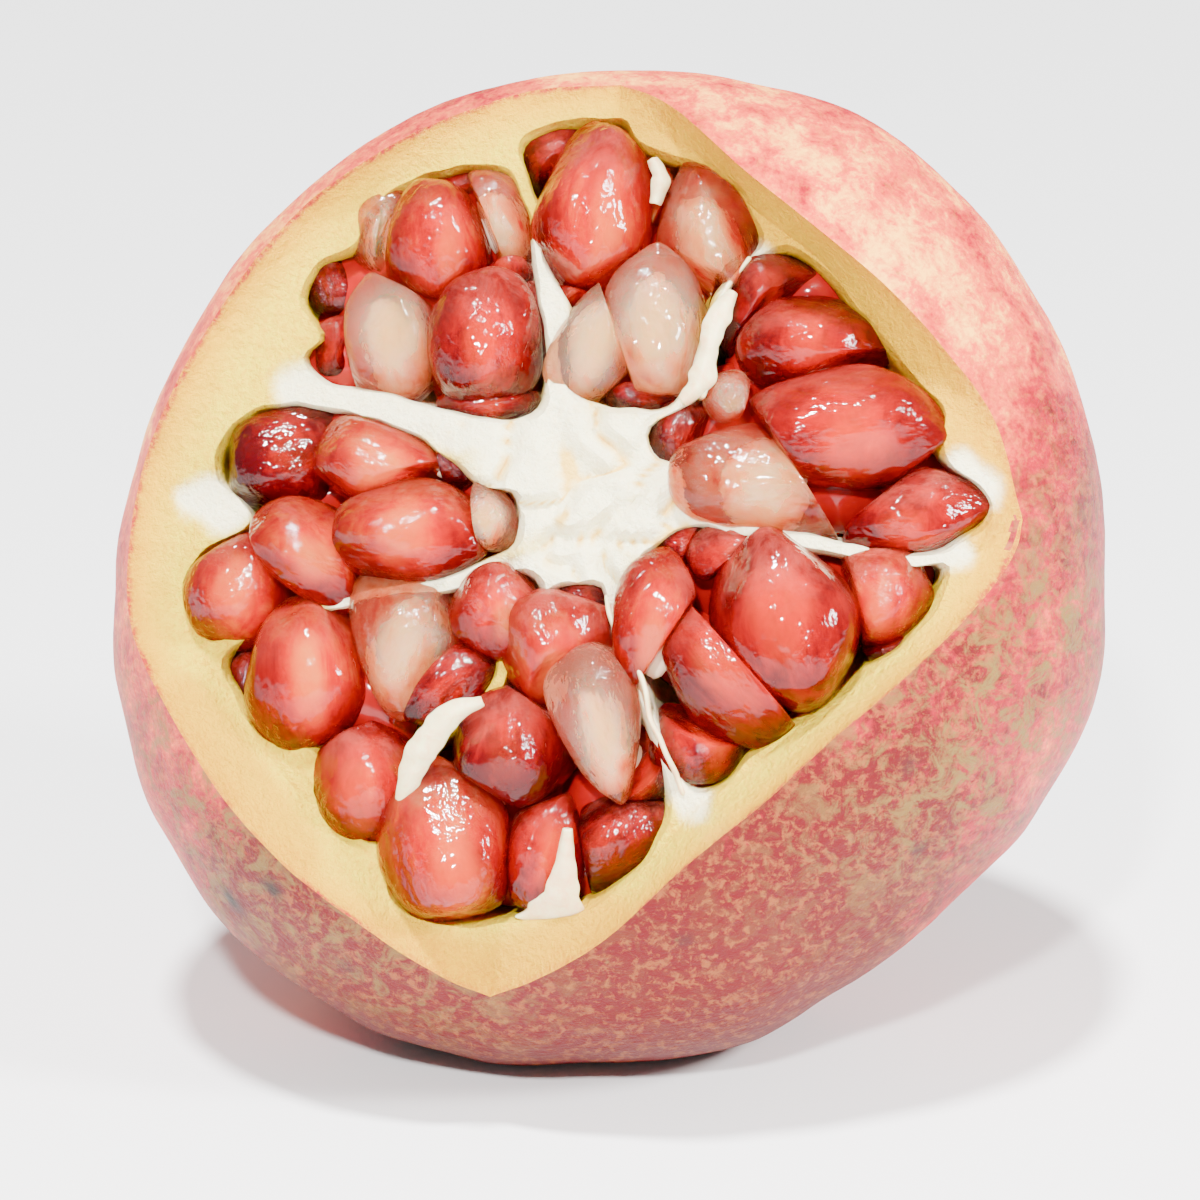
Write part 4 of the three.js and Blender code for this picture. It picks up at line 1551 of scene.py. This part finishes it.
BUNCHES = (
    Bunch(
        node="arils_upper_left",
        outline=(
            (500, 172), (440, 178), (385, 205), (360, 245), (320, 272), (306, 305), (325, 335), (308, 355),
            (330, 382), (390, 393), (450, 410), (515, 418), (545, 395), (545, 335), (532, 270), (528, 215),
        ),
        arils=(
            Aril((390, 235), 72, 92, 10, 0.6, Tone.PEACH), Aril((440, 245), 92, 122, 0, 3.2, Tone.CORAL),
            Aril((498, 222), 74, 100, 20, 1.0, Tone.PEACH), Aril((393, 337), 96, 125, 12, 2.4, Tone.CLEAR),
            Aril((487, 338), 104, 126, 0, 3.4, Tone.RED), Aril((337, 288), 60, 74, 30, -1.8, Tone.RUBY),
            Aril((337, 348), 54, 66, -20, -2.2, Tone.RUBY), Aril((526, 330), 50, 96, 0, -1.6, Tone.RUBY),
            Aril((488, 396), 92, 50, 0, -1.4, Tone.RED), Aril((462, 185), 96, 50, 0, -1.6, Tone.RUBY),
            Aril((508, 272), 44, 46, 0, -0.8, Tone.RED),
        ),
        draw_seed=11,
    ),
    Bunch(
        node="arils_top",
        outline=(
            (522, 152), (550, 132), (618, 126), (640, 150), (690, 168), (722, 188), (748, 218), (756, 244),
            (738, 266), (712, 302), (697, 345), (684, 388), (650, 408), (575, 395), (562, 350), (572, 310),
            (548, 265), (542, 210),
        ),
        arils=(
            Aril((555, 160), 84, 72, 20, -1.2, Tone.RUBY), Aril((597, 212), 112, 165, -8, 3.6, Tone.CORAL),
            Aril((710, 240), 96, 146, 14, 1.6, Tone.PEACH, 0.3),
            Aril((657, 215), 40, 90, 0, -1.0, Tone.CORAL),
            Aril((598, 340), 80, 120, -20, 1.8, Tone.CLEAR, 0.3),
            Aril((654, 322), 104, 152, 4, 2.6, Tone.CLEAR, 0.35),
            Aril((645, 392), 76, 44, 0, -1.6, Tone.RUBY), Aril((574, 296), 44, 44, 0, -1.6, Tone.RED),
        ),
        draw_seed=12,
    ),
    Bunch(
        node="arils_right",
        outline=(
            (754, 264), (790, 252), (826, 278), (862, 322), (884, 350), (912, 385), (936, 412), (938, 456),
            (974, 484), (986, 512), (950, 542), (900, 552), (830, 536), (760, 524), (700, 510), (688, 470),
            (656, 455), (652, 425), (702, 396), (712, 350), (728, 300),
        ),
        arils=(
            Aril((767, 300), 112, 98, 30, 0.6, Tone.RUBY), Aril((815, 346), 136, 90, -10, 1.8, Tone.RED),
            Aril((843, 428), 194, 108, 0, 3.4, Tone.RED), Aril((730, 397), 46, 48, 0, 1.6, Tone.CLEAR),
            Aril((682, 437), 64, 76, 0, -0.6, Tone.RUBY), Aril((766, 480), 172, 100, -8, 2.6, Tone.PEACH),
            Aril((912, 514), 150, 80, 6, 1.4, Tone.RED),
        ),
        draw_seed=13,
    ),
    Bunch(
        node="arils_lower_right",
        outline=(
            (652, 552), (690, 528), (740, 538), (825, 555), (900, 568), (942, 566), (934, 602), (900, 640),
            (850, 680), (800, 716), (752, 750), (725, 780), (692, 784), (668, 740), (652, 690), (628, 640),
            (622, 602), (638, 572),
        ),
        arils=(
            Aril((688, 541), 66, 44, 0, -0.8, Tone.RUBY), Aril((735, 556), 92, 54, 0, 0.8, Tone.RED),
            Aril((658, 622), 84, 126, -4, 3.6, Tone.CORAL), Aril((785, 618), 132, 166, 12, 5.4, Tone.RED),
            Aril((728, 668), 104, 160, 40, 4.2, Tone.RED), Aril((878, 596), 98, 92, -10, 2.2, Tone.CORAL),
            Aril((896, 640), 76, 56, -40, -0.6, Tone.RUBY), Aril((703, 737), 100, 84, 30, 1.2, Tone.RED),
        ),
        draw_seed=14,
    ),
    Bunch(
        node="arils_bottom",
        outline=(
            (560, 590), (598, 584), (606, 605), (614, 645), (636, 695), (655, 750), (667, 800), (640, 862),
            (580, 903), (505, 916), (450, 918), (400, 892), (400, 845), (420, 788), (450, 740), (498, 703),
            (515, 655), (536, 610),
        ),
        arils=(
            Aril((582, 602), 64, 44, 0, -0.8, Tone.RUBY),
            Aril((562, 662), 112, 140, 10, 2.4, Tone.CORAL, -0.3),
            Aril((600, 728), 70, 146, 14, 4.2, Tone.CLEAR, -0.45),
            Aril((508, 748), 114, 120, 0, 3.4, Tone.RUBY),
            Aril((448, 842), 124, 150, 8, 5.0, Tone.CORAL), Aril((545, 846), 84, 118, -12, 1.6, Tone.RED),
            Aril((632, 764), 72, 82, 0, 0.6, Tone.RED), Aril((622, 836), 88, 112, -44, 0.8, Tone.RUBY),
        ),
        draw_seed=15,
    ),
    Bunch(
        node="arils_lower_left",
        outline=(
            (448, 594), (482, 574), (526, 576), (540, 600), (502, 646), (486, 690), (436, 718), (404, 768),
            (386, 835), (350, 824), (318, 790), (322, 750), (268, 736), (240, 690), (232, 656), (285, 626),
            (350, 608),
        ),
        arils=(
            Aril((312, 675), 116, 150, 6, 3.4, Tone.CORAL),
            Aril((411, 646), 108, 136, -10, 2.6, Tone.PEACH, -0.35),
            Aril((500, 611), 88, 94, 0, 3.0, Tone.CORAL), Aril((458, 682), 70, 112, -48, 1.6, Tone.RUBY),
            Aril((370, 778), 106, 116, 10, 2.6, Tone.RED), Aril((250, 678), 44, 60, 0, -1.8, Tone.RUBY),
            Aril((348, 808), 60, 44, -20, -1.2, Tone.RUBY),
        ),
        draw_seed=16,
    ),
    Bunch(
        node="arils_left",
        outline=(
            (224, 452), (250, 418), (290, 405), (350, 416), (402, 432), (450, 462), (480, 486), (514, 496),
            (516, 540), (490, 558), (440, 576), (350, 592), (280, 610), (222, 638), (200, 618), (190, 582),
            (212, 548), (250, 526), (246, 502), (224, 482),
        ),
        arils=(
            Aril((292, 457), 140, 100, 6, 0.8, Tone.RUBY), Aril((388, 470), 150, 84, -26, 1.8, Tone.CORAL),
            Aril((413, 530), 150, 94, 0, 3.2, Tone.CORAL), Aril((486, 517), 56, 60, 0, 1.2, Tone.CLEAR),
            Aril((448, 462), 62, 40, -30, -1.2, Tone.RUBY), Aril((243, 592), 104, 106, 0, 3.0, Tone.CORAL),
            Aril((322, 554), 136, 82, -28, 2.2, Tone.CORAL),
        ),
        draw_seed=17,
    ),
)

MEMBRANES = (
    Membrane("membrane_right", ((700, 400), (708, 352), (720, 300), (752, 256)), (1.2, 1.4, 0.8, 0.4)),
    Membrane("membrane_lower", ((605, 595), (622, 645), (645, 695), (664, 750), (684, 795)),
             (0.4, 2.0, 3.4, 2.2, 0.8)),
    Flap("torn_flap_right", ((733, 292), (716, 322), (708, 350), (700, 382), (682, 402)),
         (0.6, 2.2, 1.4, 2.2, 0.8), (1.0, 2.2, 2.4, 1.8, 1.0)),
    Flap("membrane_left", ((484, 700), (452, 714), (424, 748), (407, 790), (400, 826)),
         (0.6, 2.3, 2.5, 1.6, 0.4), (3.6, 4.2, 4.2, 3.4, 2.0)),
    Flap("rind_spike", ((554, 926), (560, 898), (565, 866), (568, 826)), (7.5, 2.8, 1.2, 0.04),
         (-0.4, 1.6, 2.8, 3.6), curl=0.7, thickness=0.8),
    Flap("torn_flap_top", ((655, 205), (660, 180), (652, 160)), (0.8, 1.6, 0.6), (1.0, 1.8, 1.2)),
)


@dataclass
class Studio:
    """The plain pale floor, the soft lights and the camera at the photograph's angle.

    Lamps each have a name, a place in the face frame in mm, a size in metres and a power in watts.
    """

    floor_size: float = 6.0
    sky: tuple = (1.0, 1.0, 1.0)
    sky_strength: float = 0.5
    sun_place: tuple = (-60, 560, 320)
    sun_angle_deg: float = 6.0
    sun_strength: float = 11.5
    lamps: tuple = (
        ("side_light", (450, 220, 350), 0.12, 9.0),
        ("front_light", (-60, 180, 560), 0.035, 8.5),
    )
    nearest: float = 0.01

    def floor(self) -> None:
        """Lay the floor that the fruit rests on."""
        bpy.ops.object.select_all(action="DESELECT")
        bpy.ops.mesh.primitive_plane_add(size=self.floor_size)
        floor = bpy.context.object
        floor.name = "floor"
        floor.data.materials.append(FloorFinish().material())

    @staticmethod
    def hang(name: str, data: bpy.types.ID, place: tuple, aim: tuple = (0.0, 0.0, 0.0)) -> Piece:
        """Put a lamp or camera at a place of the face frame, in mm, and turn it to another."""
        holder = bpy.data.objects.new(name, data)
        bpy.context.scene.collection.objects.link(holder)
        eye, target = (Vector(to_world(np.array(point, dtype=float))) for point in (place, aim))
        holder.location = eye
        holder.rotation_euler = (target - eye).to_track_quat("-Z", "Y").to_euler()
        return holder

    def lights(self) -> None:
        """Set the even white surroundings, a sun and two square soft lights."""
        world = bpy.data.worlds.new("studio")
        world.use_nodes = True
        background = world.node_tree.nodes["Background"]
        background.inputs["Color"].default_value = (*self.sky, 1.0)
        background.inputs["Strength"].default_value = self.sky_strength
        bpy.context.scene.world = world
        sun = bpy.data.lights.new("key_light", "SUN")
        sun.angle = math.radians(self.sun_angle_deg)
        sun.energy = self.sun_strength
        self.hang("key_light", sun, self.sun_place)
        for name, place, size, power in self.lamps:
            lamp = bpy.data.lights.new(name, "AREA")
            lamp.size = size
            lamp.energy = power
            self.hang(name, lamp, place)

    def camera(self) -> None:
        """Set the camera where the photograph was taken from."""
        lens = bpy.data.cameras.new("camera")
        lens.sensor_width = SENSOR_MM
        lens.lens = SENSOR_MM * EYE_DISTANCE * PX_PER_MM / IMAGE_PX
        lens.clip_start = self.nearest
        aim = pixel_at_height((IMAGE_PX / 2.0, IMAGE_PX / 2.0), 0.0)
        bpy.context.scene.camera = self.hang("camera", lens, (0.0, 0.0, EYE_DISTANCE), tuple(aim))

    def build(self) -> None:
        """Build the whole studio."""
        self.floor()
        self.lights()
        self.camera()


def main() -> None:
    """Build the pomegranate and its studio, piece by piece."""
    logging.basicConfig(level=logging.INFO, format="%(name)s: %(message)s")
    husk = Husk().build([bunch.outline for bunch in BUNCHES])
    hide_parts("husk")
    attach(husk, "root")
    LOG.info("husk: %d faces", len(husk.data.polygons))
    flesh = ArilFinish().material()
    clear_flesh = ArilFinish(
        clear=(0.99, 0.74, 0.47), peach=(0.97, 0.34, 0.13), edge=(0.56, 0.22, 0.2), name="aril_clear",
        clearness=0.86,
    ).material()
    deep_flesh = DeepArilFinish().material()
    seed_flesh = SeedFinish().material()
    for bunch in BUNCHES:
        fine, seeds = bunch.build(flesh, clear_flesh, deep_flesh, seed_flesh)
        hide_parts(bunch.node)
        for piece in (fine, seeds):
            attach(piece, "root")
            LOG.info("%s: %d faces", piece.name, len(piece.data.polygons))
    thin_flesh = MembraneFinish().material()
    for membrane in MEMBRANES:
        sheet = membrane.build(thin_flesh)
        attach(sheet, "root")
        LOG.info("%s: %d faces", sheet.name, len(sheet.data.polygons))
    scar = StemScar().build()
    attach(scar, "root")
    Studio().build()
    LOG.info("studio built")


if __name__ == "__main__":
    main()
